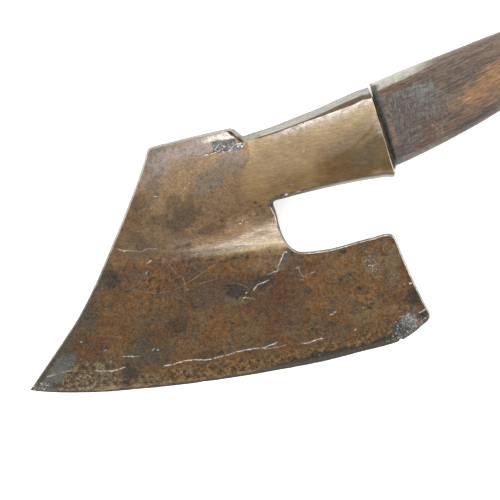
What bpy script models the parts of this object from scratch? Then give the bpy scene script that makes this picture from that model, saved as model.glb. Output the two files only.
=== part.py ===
"""Side axe: a forged, bearded head with a tapered socket, and a wooden handle in the socket.

The axe lies on the flat back of its head. In the working plan X runs along the cutting edge from
toe to heel, Y runs from the edge up to the poll, and Z is the height above the flat back.
The plan is drawn in millimetres, and the meshes are in metres.
"""

import math

import bmesh
import bpy
import numpy as np
from mathutils.geometry import delaunay_2d_cdt

MM = 0.001

# Plan of the head: the corners where its edges meet.
TOE = (-1.0, 0.4)
HEEL = (281.4, 1.6)
BEARD_CORNER = (265.6, 63.8)
THROAT_CORNER = (188.0, 98.9)
MOUTH_LOW = (273.4, 101.6)
MOUTH_HIGH = (265.8, 165.6)
STEP_LOW = (174.8, 147.2)
STEP_HIGH = (169.6, 154.8)
POLL_CORNER = (109.4, 151.2)

# How far a side wall leans in for each millimetre of height.
SOCKET_LEAN = 0.158
BLADE_LEAN = 0.10
UPRIGHT = 0.0

# The chamfer between a side wall and the face.
BLADE_ARRIS = 1.0
EDGE_ARRIS = 0.3
MOUTH_ARRIS = 0.7
SOCKET_TOP_ARRIS = 3.0
ARRIS_GROWS_FROM = 205.0

# Each edge of the head, in order round the plan: the smooth line it follows, its lean and its arris.
CUTTING_EDGE = [TOE, (12, -4.4), (41, -9.6), (93, -14.6), (158, -17), (227, -14.9), (266, -8.8), HEEL]
HEEL_END = [HEEL, (271.8, 34.5), BEARD_CORNER]
THROAT = [BEARD_CORNER, (241, 61.6), (212, 60), (196.5, 63.2), (190.2, 74), (188.6, 86), THROAT_CORNER]
UNDERSIDE = [THROAT_CORNER, (228, 101.6), MOUTH_LOW]
MOUTH = [MOUTH_LOW, MOUTH_HIGH]
SOCKET_TOP = [MOUTH_HIGH, (258, 163.9), (222, 155.2), (192, 149.3), STEP_LOW]
STEP = [STEP_LOW, STEP_HIGH]
POLL_EDGE = [STEP_HIGH, (140, 153.4), POLL_CORNER]
SWEPT_EDGE = [POLL_CORNER, (101.6, 136.4), (75.3, 93.3), (39.7, 42.8), (18.5, 20.4), TOE]
EDGES = [
    (CUTTING_EDGE, UPRIGHT, EDGE_ARRIS),
    (HEEL_END, BLADE_LEAN, BLADE_ARRIS),
    (THROAT, BLADE_LEAN, BLADE_ARRIS),
    (UNDERSIDE, SOCKET_LEAN, BLADE_ARRIS),
    (MOUTH, UPRIGHT, MOUTH_ARRIS),
    (SOCKET_TOP, SOCKET_LEAN, SOCKET_TOP_ARRIS),
    (STEP, SOCKET_LEAN, BLADE_ARRIS),
    (POLL_EDGE, BLADE_LEAN, BLADE_ARRIS),
    (SWEPT_EDGE, BLADE_LEAN, BLADE_ARRIS),
]
CORNER_RADII = {
    HEEL: 4.0,
    BEARD_CORNER: 6.0,
    THROAT_CORNER: 2.0,
}

# Thickness of the blade, by its rise above the cutting edge.
BLADE_RISES = (0, 3, 16, 75, 165)
BLADE_THICKNESSES = (0.9, 2.3, 4.1, 5.3, 8.8)

# Height of the socket body's face, by its place along X.
BODY_PLACES = (84, 125, 200, 273)
BODY_HEIGHTS = (5.6, 12.6, 25.0, 31.0)

# The shoulder, the slope from the socket body down to the blade: its crease and its soft top in Y.
SHOULDER_PLACES = (90, 125, 160, 196)
SHOULDER_CREASE = (79.5, 76.5, 74.3, 70.0)
SHOULDER_TOP = (84.0, 87.0, 90.5, 94.0)

# Left of the step the face falls towards the poll edge.
POLL_FALL_Y = (128.0, 155.0)
POLL_FALL_X = (184.0, 168.0)
POLL_THICKNESS_PLACES = (110, 170)
POLL_THICKNESSES = (8.6, 13.0)

# The socket's hollow, at its inner end and at its mouth: centre, half depth and half thickness.
HOLLOW_CENTRES = ((204.0, 124.6, 12.4), (270.4, 133.2, 15.7))
HOLLOW_HALF_DEPTHS = (17.0, 25.4)
HOLLOW_HALF_THICKNESSES = (6.6, 11.6)
HOLLOW_CORNERS = 7.0
FIT_GAP = 0.3
TENON_SHORT_BY = 1.5
TENON_NOSE = 2.0

# The handle outside the socket: its lower and upper edge in plan.
NECK_LOWER = [(275.2, 110.2), (306, 118.6), (335, 128.7), (372, 143), (414, 156)]
NECK_UPPER = [(269.1, 168.0), (330, 181.8), (400, 195.4)]
GRIP_LOWER = [(490, 172), (560, 186.6), (606, 195.4)]
GRIP_UPPER = [(480, 209.4), (560, 226.6), (598, 235)]
SHOULDER_GAP = 0.9
SHOULDER_CHAMFER = 2.4
HALF_THICKNESSES = (13.4, 12.4)
HANDLE_RISE = math.radians(7.0)
RISE_SETS_IN = 70.0
SECTION_CORNERS = (5.0, 2.5)
NECK_LENGTH = 0.4
BUTT_SWELL = 1.8
BUTT_SWELL_FROM = 0.8
BUTT_ROUND = 9.0

# How finely the meshes follow the curves.
OUTLINE_STEP = 6.5
GRID_STEP = 6.5
CORNER_PARTS = 4
SHARP_TURN = 0.45
HANDLE_PARTS = 26
BUTT_PARTS = 4
SECTION_POINTS = 32


def unit(vector):
    return np.asarray(vector, float) / np.linalg.norm(vector)


def ease(t):
    """A smooth step from 0 to 1."""
    t = np.clip(t, 0, 1)
    return t * t * (3 - 2 * t)


def curve_through(points, step=None, parts=None):
    """Points along a smooth curve through the given ones, about every step or in equal parts.

    A straight line between two points keeps only its ends.
    """
    p = np.array(points, float)
    if len(p) == 2:
        return p
    gaps = np.linalg.norm(np.diff(p, axis=0), axis=1)
    at = np.concatenate([[0.0], np.cumsum(gaps)])
    tangent = np.gradient(p, at, axis=0, edge_order=2)
    parts = parts or max(1, round(at[-1] / step))
    t = np.linspace(0, at[-1], parts + 1)
    i = np.clip(np.searchsorted(at, t, side="right") - 1, 0, len(p) - 2)
    h = gaps[i][:, None]
    u = (t - at[i])[:, None] / h
    start = (2 * u**3 - 3 * u**2 + 1) * p[i] + (u**3 - 2 * u**2 + u) * h * tangent[i]
    return start + (3 * u**2 - 2 * u**3) * p[i + 1] + (u**3 - u**2) * h * tangent[i + 1]


def corner_arc(before, corner, after, radius):
    """The arc that rounds a corner, and how far along its two edges the arc reaches."""
    a = unit(before - corner)
    b = unit(after - corner)
    half = math.acos(float(a @ b)) / 2
    centre = corner + unit(a + b) * radius / math.sin(half)
    reach = radius / math.tan(half)
    start = corner + a * reach - centre
    end = corner + b * reach - centre
    sweep = math.pi - 2 * half
    turn = math.copysign(sweep, start[0] * end[1] - start[1] * end[0])
    arc = []
    for i in range(CORNER_PARTS + 1):
        angle = turn * i / CORNER_PARTS
        c, s = math.cos(angle), math.sin(angle)
        arc.append(centre + np.array([start[0] * c - start[1] * s, start[0] * s + start[1] * c]))
    return arc, reach


def head_outline():
    """The plan of the head, anticlockwise: points, and the lean and arris of the edge after each."""
    runs = [curve_through(points, OUTLINE_STEP) for points, lean, arris in EDGES]
    rows = []
    for i, (points, lean, arris) in enumerate(EDGES):
        run, last = runs[i], runs[i - 1]
        radius = CORNER_RADII.get(points[0])
        start_reach, end_reach = 0.0, 0.0
        if radius:
            arc, start_reach = corner_arc(last[-2], run[0], run[1], radius)
            rows += [(*p, lean, arris) for p in arc]
        else:
            rows.append((*run[0], lean, arris))
        end_radius = CORNER_RADII.get(points[-1])
        if end_radius:
            following = runs[(i + 1) % len(runs)]
            end_reach = corner_arc(run[-2], run[-1], following[1], end_radius)[1]
        for p in run[1:-1]:
            clear_of_start = np.linalg.norm(p - run[0]) > start_reach + OUTLINE_STEP / 4
            clear_of_end = np.linalg.norm(p - run[-1]) > end_reach + OUTLINE_STEP / 4
            if clear_of_start and clear_of_end:
                rows.append((*p, lean, arris))
    table = np.array(rows)
    points, lean, arris = table[:, :2], table[:, 2], table[:, 3]
    grows = arris == SOCKET_TOP_ARRIS
    growth = np.interp(points[grows, 0], (ARRIS_GROWS_FROM, MOUTH_HIGH[0]), (0, 1))
    arris[grows] = BLADE_ARRIS + growth * (SOCKET_TOP_ARRIS - BLADE_ARRIS)
    return points, lean, arris


EDGE_LINE = curve_through(EDGES[0][0], OUTLINE_STEP)


def blade_height(x, y):
    """Height of the blade's face: it thins towards the cutting edge."""
    rise = y - np.interp(x, EDGE_LINE[:, 0], EDGE_LINE[:, 1])
    return np.interp(rise, BLADE_RISES, BLADE_THICKNESSES)


def body_height(x, y):
    """Height of the socket body's face, which falls towards the poll edge left of the step."""
    height = np.interp(x, BODY_PLACES, BODY_HEIGHTS)
    poll = np.interp(x, POLL_THICKNESS_PLACES, POLL_THICKNESSES)
    across = ease((y - POLL_FALL_Y[0]) / (POLL_FALL_Y[1] - POLL_FALL_Y[0]))
    along = ease((x - POLL_FALL_X[0]) / (POLL_FALL_X[1] - POLL_FALL_X[0]))
    return height + (np.minimum(poll, height) - height) * across * along


def face_height(x, y):
    """Height of the front face over a point of the plan."""
    blade = blade_height(x, y)
    crease = np.interp(x, SHOULDER_PLACES, SHOULDER_CREASE)
    top = np.interp(x, SHOULDER_PLACES, SHOULDER_TOP)
    up = np.clip((y - crease) / (top - crease), 0, 1)
    return blade + np.maximum(body_height(x, y) - blade, 0) * np.sin(up * math.pi / 2)


def inset(points, depth_before, depth_after):
    """The outline moved inwards, with a depth for the edge before and the edge after each point."""
    along = np.roll(points, -1, axis=0) - points
    along /= np.linalg.norm(along, axis=1)[:, None]
    inward_after = np.column_stack([-along[:, 1], along[:, 0]])
    inward_before = np.roll(inward_after, 1, axis=0)
    moved = []
    for p, n1, n2, d1, d2 in zip(points, inward_before, inward_after, depth_before, depth_after):
        turn = n1[0] * n2[1] - n1[1] * n2[0]
        if abs(turn) < SHARP_TURN:
            moved.append(p + unit(n1 + n2) * (d1 + d2) / 2)
        else:
            moved.append(p + np.array([d1 * n2[1] - d2 * n1[1], d2 * n1[0] - d1 * n2[0]]) / turn)
    return np.array(moved)


def wall_rings(points, lean, arris):
    """Three rings of the head's side: at the back, below the arris, and where the face starts."""
    lean_before, arris_before = np.roll(lean, 1), np.roll(arris, 1)
    inner = inset(points, arris_before, arris)
    height = face_height(*inner.T)
    arris_here = (arris_before + arris) / 2
    wall = height - arris_here
    shoulder = inset(points, lean_before * wall, lean * wall)
    inner = inset(points, lean_before * wall + arris_before, lean * wall + arris)
    back = np.column_stack([points, np.zeros(len(points))])
    return back, np.column_stack([shoulder, wall]), np.column_stack([inner, face_height(*inner.T)])


def distances_to_ring(ring, points):
    """Distance from each point to a closed ring, negative outside it."""
    start = ring
    along = np.roll(ring, -1, axis=0) - ring
    to_point = points[:, None, :] - start[None, :, :]
    t = np.clip((to_point * along).sum(2) / (along * along).sum(1), 0, 1)
    gap = np.linalg.norm(to_point - t[:, :, None] * along, axis=2).min(1)
    y = points[:, 1][:, None]
    end = start + along
    spans = (start[:, 1] > y) != (end[:, 1] > y)
    rise = np.where(along[:, 1] == 0, 1, along[:, 1])
    crossing = start[:, 0] + (y - start[:, 1]) / rise * along[:, 0]
    inside = (spans & (crossing > points[:, 0][:, None])).sum(1) % 2 == 1
    return np.where(inside, gap, -gap)


def spaced(candidates, gap):
    """The candidates, without any that is nearer than gap to an earlier one."""
    kept = []
    for p in candidates:
        if not kept or np.linalg.norm(np.array(kept) - p, axis=1).min() > gap:
            kept.append(p)
    return np.array(kept)


def face_points(ring):
    """Points inside the ring for the face's mesh: along the shoulder and the bevel, then a grid."""
    places = np.arange(SHOULDER_PLACES[0], SHOULDER_PLACES[-1] + OUTLINE_STEP, OUTLINE_STEP)
    shoulder = (SHOULDER_CREASE, SHOULDER_TOP)
    rows = [np.column_stack([places, np.interp(places, SHOULDER_PLACES, ys)]) for ys in shoulder]
    rows += [EDGE_LINE + (0, rise) for rise in BLADE_RISES[1:3]]
    low, high = ring.min(0), ring.max(0)
    row_step = GRID_STEP * math.sqrt(0.75)
    for i in range(int((high[1] - low[1]) / row_step) + 1):
        xs = np.arange(low[0] + (i % 2) * GRID_STEP / 2, high[0], GRID_STEP)
        rows.append(np.column_stack([xs, np.full(len(xs), low[1] + i * row_step)]))
    candidates = np.vstack(rows)
    room = distances_to_ring(ring, candidates)
    return spaced(candidates[room > GRID_STEP * 0.4], GRID_STEP * 0.55)


def make_object(name, vertices, faces, material, smooth_angle=None):
    """An object from vertices in millimetres, with its faces turned outwards."""
    bm = bmesh.new()
    made = [bm.verts.new([c * MM for c in v]) for v in vertices]
    for face in faces:
        bm.faces.new([made[i] for i in face])
    bmesh.ops.recalc_face_normals(bm, faces=bm.faces)
    mesh = bpy.data.meshes.new(name)
    bm.to_mesh(mesh)
    bm.free()
    if smooth_angle:
        mesh.shade_smooth()
        mesh.set_sharp_from_angle(angle=math.radians(smooth_angle))
    if material:
        mesh.materials.append(material)
    thing = bpy.data.objects.new(name, mesh)
    bpy.context.collection.objects.link(thing)
    return thing


def bridge(first, second, count):
    """Quads between two rings of count points, given the index where each ring starts."""
    quads = []
    for i in range(count):
        following = (i + 1) % count
        quads.append((first + i, first + following, second + following, second + i))
    return quads


def loft(name, sections, material, smooth_angle=None):
    """A closed body through a row of sections that all have the same number of points."""
    count = len(sections[0])
    faces = [tuple(range(count)), tuple(range((len(sections) - 1) * count, len(sections) * count))]
    for i in range(len(sections) - 1):
        faces += bridge(i * count, (i + 1) * count, count)
    return make_object(name, np.vstack(sections), faces, material, smooth_angle)


def between(pair, t):
    """The value at t from the first of a pair, 0, to the second, 1."""
    first, second = np.array(pair, float)
    return first + t * (second - first)


def rounded_box(half_depth, half_thickness, corners, lean=0.0):
    """A rounded box in the plane: across and up, with sides that lean in towards its top."""
    angle = (np.arange(SECTION_POINTS) + 0.5) * 2 * math.pi / SECTION_POINTS
    c, s = np.cos(angle), np.sin(angle)
    across = np.sign(c) * np.abs(c) ** (2 / corners)
    up = half_thickness * np.sign(s) * np.abs(s) ** (2 / corners)
    return across * (half_depth - lean * up), up


def hollow_section(t, shrink=0.0):
    """The hollow's section at t from its inner end, 0, to the mouth, 1, made smaller by shrink."""
    centre = between(HOLLOW_CENTRES, t)
    half_depth = between(HOLLOW_HALF_DEPTHS, t) - shrink
    half_thickness = between(HOLLOW_HALF_THICKNESSES, t) - shrink
    across, up = rounded_box(half_depth, half_thickness, HOLLOW_CORNERS, SOCKET_LEAN)
    direction = unit(np.subtract(MOUTH_HIGH, MOUTH_LOW))
    xy = centre[:2] + across[:, None] * direction
    return np.column_stack([xy, centre[2] + up])


def handle_sections():
    """The handle's sections outside the socket, from its shoulder to its butt."""
    lower = curve_through(NECK_LOWER + GRIP_LOWER, parts=HANDLE_PARTS)
    upper = curve_through(NECK_UPPER + GRIP_UPPER, parts=HANDLE_PARTS)
    centres = (lower + upper) / 2
    reached = np.concatenate([[0.0], np.cumsum(np.linalg.norm(np.diff(centres, axis=0), axis=1))])
    height = HOLLOW_CENTRES[1][2]
    sections = []
    for i, (low, high, centre) in enumerate(zip(lower, upper, centres)):
        q = i / HANDLE_PARTS
        rise = HANDLE_RISE * ease(reached[i] / RISE_SETS_IN)
        if i:
            height += (reached[i] - reached[i - 1]) * math.tan(rise)
        swell = BUTT_SWELL * ease((q - BUTT_SWELL_FROM) / (1 - BUTT_SWELL_FROM))
        past_neck = ease(q / NECK_LENGTH)
        half_depth = np.linalg.norm(high - low) / 2 + swell
        half_thickness = between(HALF_THICKNESSES, past_neck) + swell
        outline = rounded_box(half_depth, half_thickness, between(SECTION_CORNERS, past_neck))
        sections.append(handle_section((*centre, height), high - low, rise, outline))
    return sections


def handle_section(centre, depth_way, rise, outline):
    """One section of the handle, across its line: its depth in plan, its thickness tipped by its rise."""
    across, up = outline
    direction = np.array([*unit(depth_way), 0.0])
    forward_in_plan = np.array([direction[1], -direction[0], 0.0])
    up_way = np.array([0.0, 0.0, math.cos(rise)]) - forward_in_plan * math.sin(rise)
    return np.array(centre) + across[:, None] * direction + up[:, None] * up_way


def shrunk(section, by, ahead):
    """A section drawn in by a distance, and moved ahead along the handle."""
    middle = section.mean(0)
    out = section - middle
    size = np.linalg.norm(out, axis=1)[:, None]
    forward = unit(np.cross(out[0], out[SECTION_POINTS // 4]))
    return middle + out * (size - by) / size + forward * ahead


def forged_iron():
    return principled("forged_iron", (0.27, 0.175, 0.10, 1), 0.6, 0.5)


def old_wood():
    return principled("old_wood", (0.13, 0.06, 0.04, 1), 0.0, 0.6)


def principled(name, colour, metallic, roughness):
    material = bpy.data.materials.new(name)
    material.use_nodes = True
    shader = material.node_tree.nodes["Principled BSDF"]
    shader.inputs["Base Color"].default_value = colour
    shader.inputs["Metallic"].default_value = metallic
    shader.inputs["Roughness"].default_value = roughness
    return material


def make_head():
    """The head: side walls, a meshed front face and a flat back, with the socket's hollow cut out."""
    points, lean, arris = head_outline()
    back, wall_top, face_rim = wall_rings(points, lean, arris)
    count = len(points)
    inner = face_points(face_rim[:, :2])
    plan = np.vstack([face_rim[:, :2], inner])
    triangulated = delaunay_2d_cdt([tuple(p) for p in plan], [], [list(range(count))], 1, 1e-6)
    front = np.column_stack([inner, face_height(*inner.T)])
    vertices = np.vstack([back, wall_top, face_rim, front])
    faces = [tuple(range(count))]
    faces += bridge(0, count, count)
    faces += bridge(count, 2 * count, count)
    sources = [names[0] for names in triangulated[3]]
    faces += [tuple(2 * count + sources[i] for i in triangle) for triangle in triangulated[2]]
    head = make_object("axe_head", vertices, faces, forged_iron(), smooth_angle=24)
    hollow = loft("socket_hollow", [hollow_section(0), hollow_section(1.06)], None)
    hollow.hide_render = True
    hollow.display_type = "WIRE"
    cut = head.modifiers.new("hollow", "BOOLEAN")
    cut.operation = "DIFFERENCE"
    cut.solver = "EXACT"
    cut.object = hollow
    return head, hollow


def make_handle():
    """The handle: a tapered tenon, the shoulder at the mouth, the neck and the grip."""
    length = np.linalg.norm(np.subtract(HOLLOW_CENTRES[1], HOLLOW_CENTRES[0]))
    nose = TENON_SHORT_BY / length
    past_mouth = 1 + SHOULDER_GAP / length
    outside = handle_sections()
    grip_end = outside[-1]
    sections = [hollow_section(nose, FIT_GAP + TENON_NOSE / 2)]
    sections.append(hollow_section(nose + TENON_NOSE / length, FIT_GAP))
    sections.append(hollow_section(past_mouth, FIT_GAP))
    sections.append(shrunk(outside[0], SHOULDER_CHAMFER, 0.0))
    sections.append(shrunk(outside[0], 0.0, SHOULDER_CHAMFER))
    sections += outside[1:]
    for i in range(1, BUTT_PARTS + 1):
        angle = math.pi / 2 * i / (BUTT_PARTS + 0.5)
        sections.append(shrunk(grip_end, BUTT_ROUND * (1 - math.cos(angle)), BUTT_ROUND * math.sin(angle)))
    return loft("handle", sections, old_wood(), smooth_angle=35)


def stand_on_origin(things):
    """Moves the things so that the middle of their common footprint is the origin."""
    corners = np.vstack([[v.co[:] for v in thing.data.vertices] for thing in things])
    middle = (corners.min(0) + corners.max(0)) / 2
    return -middle[0], -middle[1], 0.0


def main():
    for thing in list(bpy.data.objects):
        bpy.data.objects.remove(thing)
    head, hollow = make_head()
    handle = make_handle()
    place = stand_on_origin([head, handle])
    for thing in (head, hollow, handle):
        thing.location = place


main()
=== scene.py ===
# %% [markdown]
# # A side axe
#
# A side axe squares a round log. Its head is one forging: a wide blade that sweeps out to a toe, a
# beard that hangs below the handle, and a thick body with a tapered socket. The back of the head is
# flat, so that it glides along the timber, and a wooden handle is driven into the socket.
#
# The construction is already packed as plain solids. This script loads them as a fixed frame, and
# gives each one a fine mesh with its wear, and a finish. Nothing here moves or resizes a solid.

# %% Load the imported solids
import math

import bmesh
import bpy
import numpy as np
from mathutils import Matrix, Vector
from mathutils.geometry import delaunay_2d_cdt
from mathutils.kdtree import KDTree


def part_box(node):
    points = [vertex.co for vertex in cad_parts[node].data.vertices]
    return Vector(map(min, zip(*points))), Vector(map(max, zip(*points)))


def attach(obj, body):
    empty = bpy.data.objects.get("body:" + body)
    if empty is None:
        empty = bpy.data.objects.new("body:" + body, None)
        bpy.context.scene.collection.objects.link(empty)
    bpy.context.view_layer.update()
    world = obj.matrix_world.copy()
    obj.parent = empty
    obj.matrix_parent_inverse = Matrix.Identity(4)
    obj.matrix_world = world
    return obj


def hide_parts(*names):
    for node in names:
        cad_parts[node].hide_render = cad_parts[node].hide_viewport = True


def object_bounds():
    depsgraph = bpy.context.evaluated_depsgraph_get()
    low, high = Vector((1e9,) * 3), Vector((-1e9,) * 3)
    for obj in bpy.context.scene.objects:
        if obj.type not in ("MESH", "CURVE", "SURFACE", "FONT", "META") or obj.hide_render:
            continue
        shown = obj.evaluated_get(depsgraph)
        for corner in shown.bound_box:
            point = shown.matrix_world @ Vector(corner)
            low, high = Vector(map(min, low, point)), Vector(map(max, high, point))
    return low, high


MM = 0.001

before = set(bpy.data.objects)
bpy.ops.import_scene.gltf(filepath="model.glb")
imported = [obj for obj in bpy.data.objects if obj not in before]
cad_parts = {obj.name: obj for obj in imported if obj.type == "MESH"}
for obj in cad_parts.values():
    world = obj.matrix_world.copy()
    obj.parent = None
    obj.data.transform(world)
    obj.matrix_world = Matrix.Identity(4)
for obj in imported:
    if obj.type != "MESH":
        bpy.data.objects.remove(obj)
cad_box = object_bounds()
head_low, head_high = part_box("axe_head")
cad_size = [round((high - low) / MM, 1) for low, high in zip(*cad_box)]
print("nodes:", sorted(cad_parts), "- the axe measures", cad_size, "mm")

# %% [markdown]
# ## The plan of the head
#
# A smith would chalk the head's outline on the bench and forge to it. The plan here is that chalk
# line, in millimetres: X runs along the cutting edge from toe to heel, and Y from the edge up to the
# poll. Nine named corners are joined by smooth runs, and each run says how far its side wall leans in
# and how wide its arris is, the small chamfer where the wall meets the face.
#
# The same plan made the solids, so the fine mesh lands on them without any fitting.

# %% Corners, walls and edges
TOE = (-2.0, -0.5)
HEEL = (281.4, 1.6)
BEARD_CORNER = (265.6, 63.8)
THROAT_CORNER = (188.0, 98.9)
MOUTH_LOW = (273.4, 101.6)
MOUTH_HIGH = (265.8, 165.6)
STEP_LOW = (174.8, 147.2)
STEP_HIGH = (169.6, 154.8)
POLL_CORNER = (109.4, 151.2)

SOCKET_LEAN = 0.158
BLADE_LEAN = 0.10
UPRIGHT = 0.0

BLADE_ARRIS = 1.0
EDGE_ARRIS = 0.3
MOUTH_ARRIS = 0.7
SOCKET_TOP_ARRIS = 3.0

CUTTING_EDGE = [TOE, (12, -4.4), (41, -9.6), (93, -14.6), (158, -17), (227, -14.9), (266, -8.8), HEEL]
HEEL_END = [HEEL, (271.8, 34.5), BEARD_CORNER]
THROAT = [BEARD_CORNER, (241, 61.6), (212, 60), (196.5, 63.2), (190.2, 74), (188.6, 86), THROAT_CORNER]
UNDERSIDE = [THROAT_CORNER, (228, 101.6), MOUTH_LOW]
MOUTH = [MOUTH_LOW, MOUTH_HIGH]
SOCKET_TOP = [MOUTH_HIGH, (258, 163.9), (222, 155.2), (192, 149.3), STEP_LOW]
STEP = [STEP_LOW, STEP_HIGH]
POLL_EDGE = [STEP_HIGH, (140, 153.4), POLL_CORNER]
SWEPT_EDGE = [POLL_CORNER, (101.6, 136.4), (75.3, 93.3), (39.7, 42.8), (18.5, 20.4), TOE]
EDGES = [
    (CUTTING_EDGE, UPRIGHT, EDGE_ARRIS),
    (HEEL_END, BLADE_LEAN, BLADE_ARRIS),
    (THROAT, BLADE_LEAN, BLADE_ARRIS),
    (UNDERSIDE, SOCKET_LEAN, BLADE_ARRIS),
    (MOUTH, UPRIGHT, MOUTH_ARRIS),
    (SOCKET_TOP, SOCKET_LEAN, SOCKET_TOP_ARRIS),
    (STEP, SOCKET_LEAN, BLADE_ARRIS),
    (POLL_EDGE, BLADE_LEAN, BLADE_ARRIS),
    (SWEPT_EDGE, BLADE_LEAN, BLADE_ARRIS),
]
CORNER_RADII = {HEEL: 4.0, BEARD_CORNER: 6.0, THROAT_CORNER: 0.8}
edge_number = {name: i for i, name in enumerate(
    "cutting_edge heel_end throat underside mouth socket_top step poll_edge swept_edge".split())}
print("the head's edges, in order:", ", ".join(edge_number))


# %% Small helpers for lines and curves
def unit(vector):
    return np.asarray(vector, float) / np.linalg.norm(vector)


def ease(t):
    """A smooth step from 0 to 1."""
    t = np.clip(t, 0, 1)
    return t * t * (3 - 2 * t)


def rising(value, start, reach):
    """0 up to the start, then rising to 1 over the reach."""
    return ease((value - start) / reach)


def falling(value, end, reach):
    """Falling to 0 over the reach that ends at the end."""
    return ease((end - value) / reach)


def curve_through(points, step=None, parts=None):
    """Points along a smooth curve through the given ones. A straight line keeps only its ends."""
    p = np.array(points, float)
    if len(p) == 2:
        return p
    gaps = np.linalg.norm(np.diff(p, axis=0), axis=1)
    at = np.concatenate([[0.0], np.cumsum(gaps)])
    tangent = np.gradient(p, at, axis=0, edge_order=2)
    parts = parts or max(1, round(at[-1] / step))
    t = np.linspace(0, at[-1], parts + 1)
    i = np.clip(np.searchsorted(at, t, side="right") - 1, 0, len(p) - 2)
    h = gaps[i][:, None]
    u = (t - at[i])[:, None] / h
    start = (2 * u**3 - 3 * u**2 + 1) * p[i] + (u**3 - 2 * u**2 + u) * h * tangent[i]
    return start + (3 * u**2 - 2 * u**3) * p[i + 1] + (u**3 - u**2) * h * tangent[i + 1]


CORNER_PARTS = 4


def corner_arc(before, corner, after, radius):
    """The arc that rounds a corner, and how far along its two edges the arc reaches."""
    a = unit(before - corner)
    b = unit(after - corner)
    half = math.acos(float(a @ b)) / 2
    centre = corner + unit(a + b) * radius / math.sin(half)
    reach = radius / math.tan(half)
    start = corner + a * reach - centre
    end = corner + b * reach - centre
    sweep = math.pi - 2 * half
    turn = math.copysign(sweep, start[0] * end[1] - start[1] * end[0])
    arc = []
    for i in range(CORNER_PARTS + 1):
        angle = turn * i / CORNER_PARTS
        c, s = math.cos(angle), math.sin(angle)
        arc.append(centre + np.array([start[0] * c - start[1] * s, start[0] * s + start[1] * c]))
    return arc, reach


# %% Chalk the outline
OUTLINE_STEP = 6.5


def head_outline():
    """The plan, anticlockwise: its points, and the number of the edge that starts at each."""
    runs = [curve_through(points, OUTLINE_STEP) for points, lean, arris in EDGES]
    points, numbers = [], []
    for i, (corners, lean, arris) in enumerate(EDGES):
        run, last = runs[i], runs[i - 1]
        radius, end_radius = CORNER_RADII.get(corners[0]), CORNER_RADII.get(corners[-1])
        start, start_reach, end_reach = [run[0]], 0.0, 0.0
        if radius:
            start, start_reach = corner_arc(last[-2], run[0], run[1], radius)
        if end_radius:
            following = runs[(i + 1) % len(runs)]
            end_reach = corner_arc(run[-2], run[-1], following[1], end_radius)[1]
        for p in run[1:-1]:
            clear_of_start = np.linalg.norm(p - run[0]) > start_reach + OUTLINE_STEP / 4
            clear_of_end = np.linalg.norm(p - run[-1]) > end_reach + OUTLINE_STEP / 4
            if clear_of_start and clear_of_end:
                start.append(p)
        points += start
        numbers += [i] * len(start)
    return np.array(points), np.array(numbers)


chalk, chalk_edges = head_outline()
TO_FRAME = np.array([head_high.x / MM - chalk.max(0)[0], head_low.y / MM - chalk.min(0)[1]])
misfit = abs(chalk.max(0)[1] + TO_FRAME[1] - head_high.y / MM)
print(len(chalk), "points of outline;", round(misfit, 3), "mm off the packed head")


def in_frame(x, y, z):
    """A place of the plan, in the frame's metres."""
    return Vector(((x + TO_FRAME[0]) * MM, (y + TO_FRAME[1]) * MM, z * MM))


# %% [markdown]
# ## The studio
#
# The axe lies on its flat back on a pale sweep, and the camera looks down on it, tipped a little so
# that the sides along the poll and the socket's top just show. A long lens from well back keeps the
# outline true.
#
# The light is one big soft tent. A patinated metal face shows what it mirrors more than what
# shines on it, so the tent is dimmer overhead and brighter towards its foot: the flat face stays
# brown, and the slope of the shoulder catches the bright part. The sweep glows a little, as a light
# table does, which takes the grey out of the shadows.

# %% Camera
VIEW_TURN = math.radians(10.184)
VIEW_TILT = math.radians(6.0)
VIEW_DISTANCE = 1.7
VIEW_WIDTH = 0.3462
VIEW_CENTRE = (166.2, 69.3, 3.0)

picture_right = Vector((math.cos(VIEW_TURN), -math.sin(VIEW_TURN), 0))
picture_up = Vector((math.sin(VIEW_TURN), math.cos(VIEW_TURN), 0))
towards_camera = picture_up * math.sin(VIEW_TILT) + Vector((0, 0, math.cos(VIEW_TILT)))
camera_data = bpy.data.cameras.new("view_from_above")
camera_data.lens = camera_data.sensor_width * VIEW_DISTANCE / VIEW_WIDTH
camera_data.clip_end = 50
camera = bpy.data.objects.new("view_from_above", camera_data)
axes = Matrix((picture_right, towards_camera.cross(picture_right), towards_camera)).transposed()
camera_place = in_frame(*VIEW_CENTRE) + towards_camera * VIEW_DISTANCE
camera.matrix_world = Matrix.Translation(camera_place) @ axes.to_4x4()
bpy.context.scene.collection.objects.link(camera)
bpy.context.scene.camera = camera
print("lens", round(camera_data.lens), "mm, from", VIEW_DISTANCE, "m")


# %% Node helpers, used by the tent and by every finish
# Each works on the node tree that is being built, which is always the one named tree.
def add(kind, **settings):
    """A new node with its settings."""
    node = tree.nodes.new(kind)
    for key, value in settings.items():
        setattr(node, key, value)
    return node


def feed(node, values):
    """Gives a node's inputs, by name or number, other nodes' outputs or plain values."""
    for name, value in values.items():
        socket = node.inputs[name]
        if isinstance(value, bpy.types.NodeSocket):
            tree.links.new(value, socket)
        elif isinstance(value, tuple) and len(socket.default_value) > len(value):
            socket.default_value = (*value, 1)
        else:
            socket.default_value = value
    return node


def calculated(operation, a, b=0.0):
    return feed(add("ShaderNodeMath", operation=operation), {0: a, 1: b}).outputs[0]


def plus(a, b):
    return calculated("ADD", a, b)


def minus(a, b):
    return calculated("SUBTRACT", a, b)


def times(a, b):
    return calculated("MULTIPLY", a, b)


def vector_result(operation, inputs):
    return feed(add("ShaderNodeVectorMath", operation=operation), inputs).outputs["Vector"]


def spread(value, low, high, to_low=0.0, to_high=1.0):
    """A value stretched from one range to another, and kept inside it."""
    limits = {"From Min": low, "From Max": high, "To Min": to_low, "To Max": to_high}
    return feed(add("ShaderNodeMapRange"), {"Value": value, **limits}).outputs["Result"]


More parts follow.
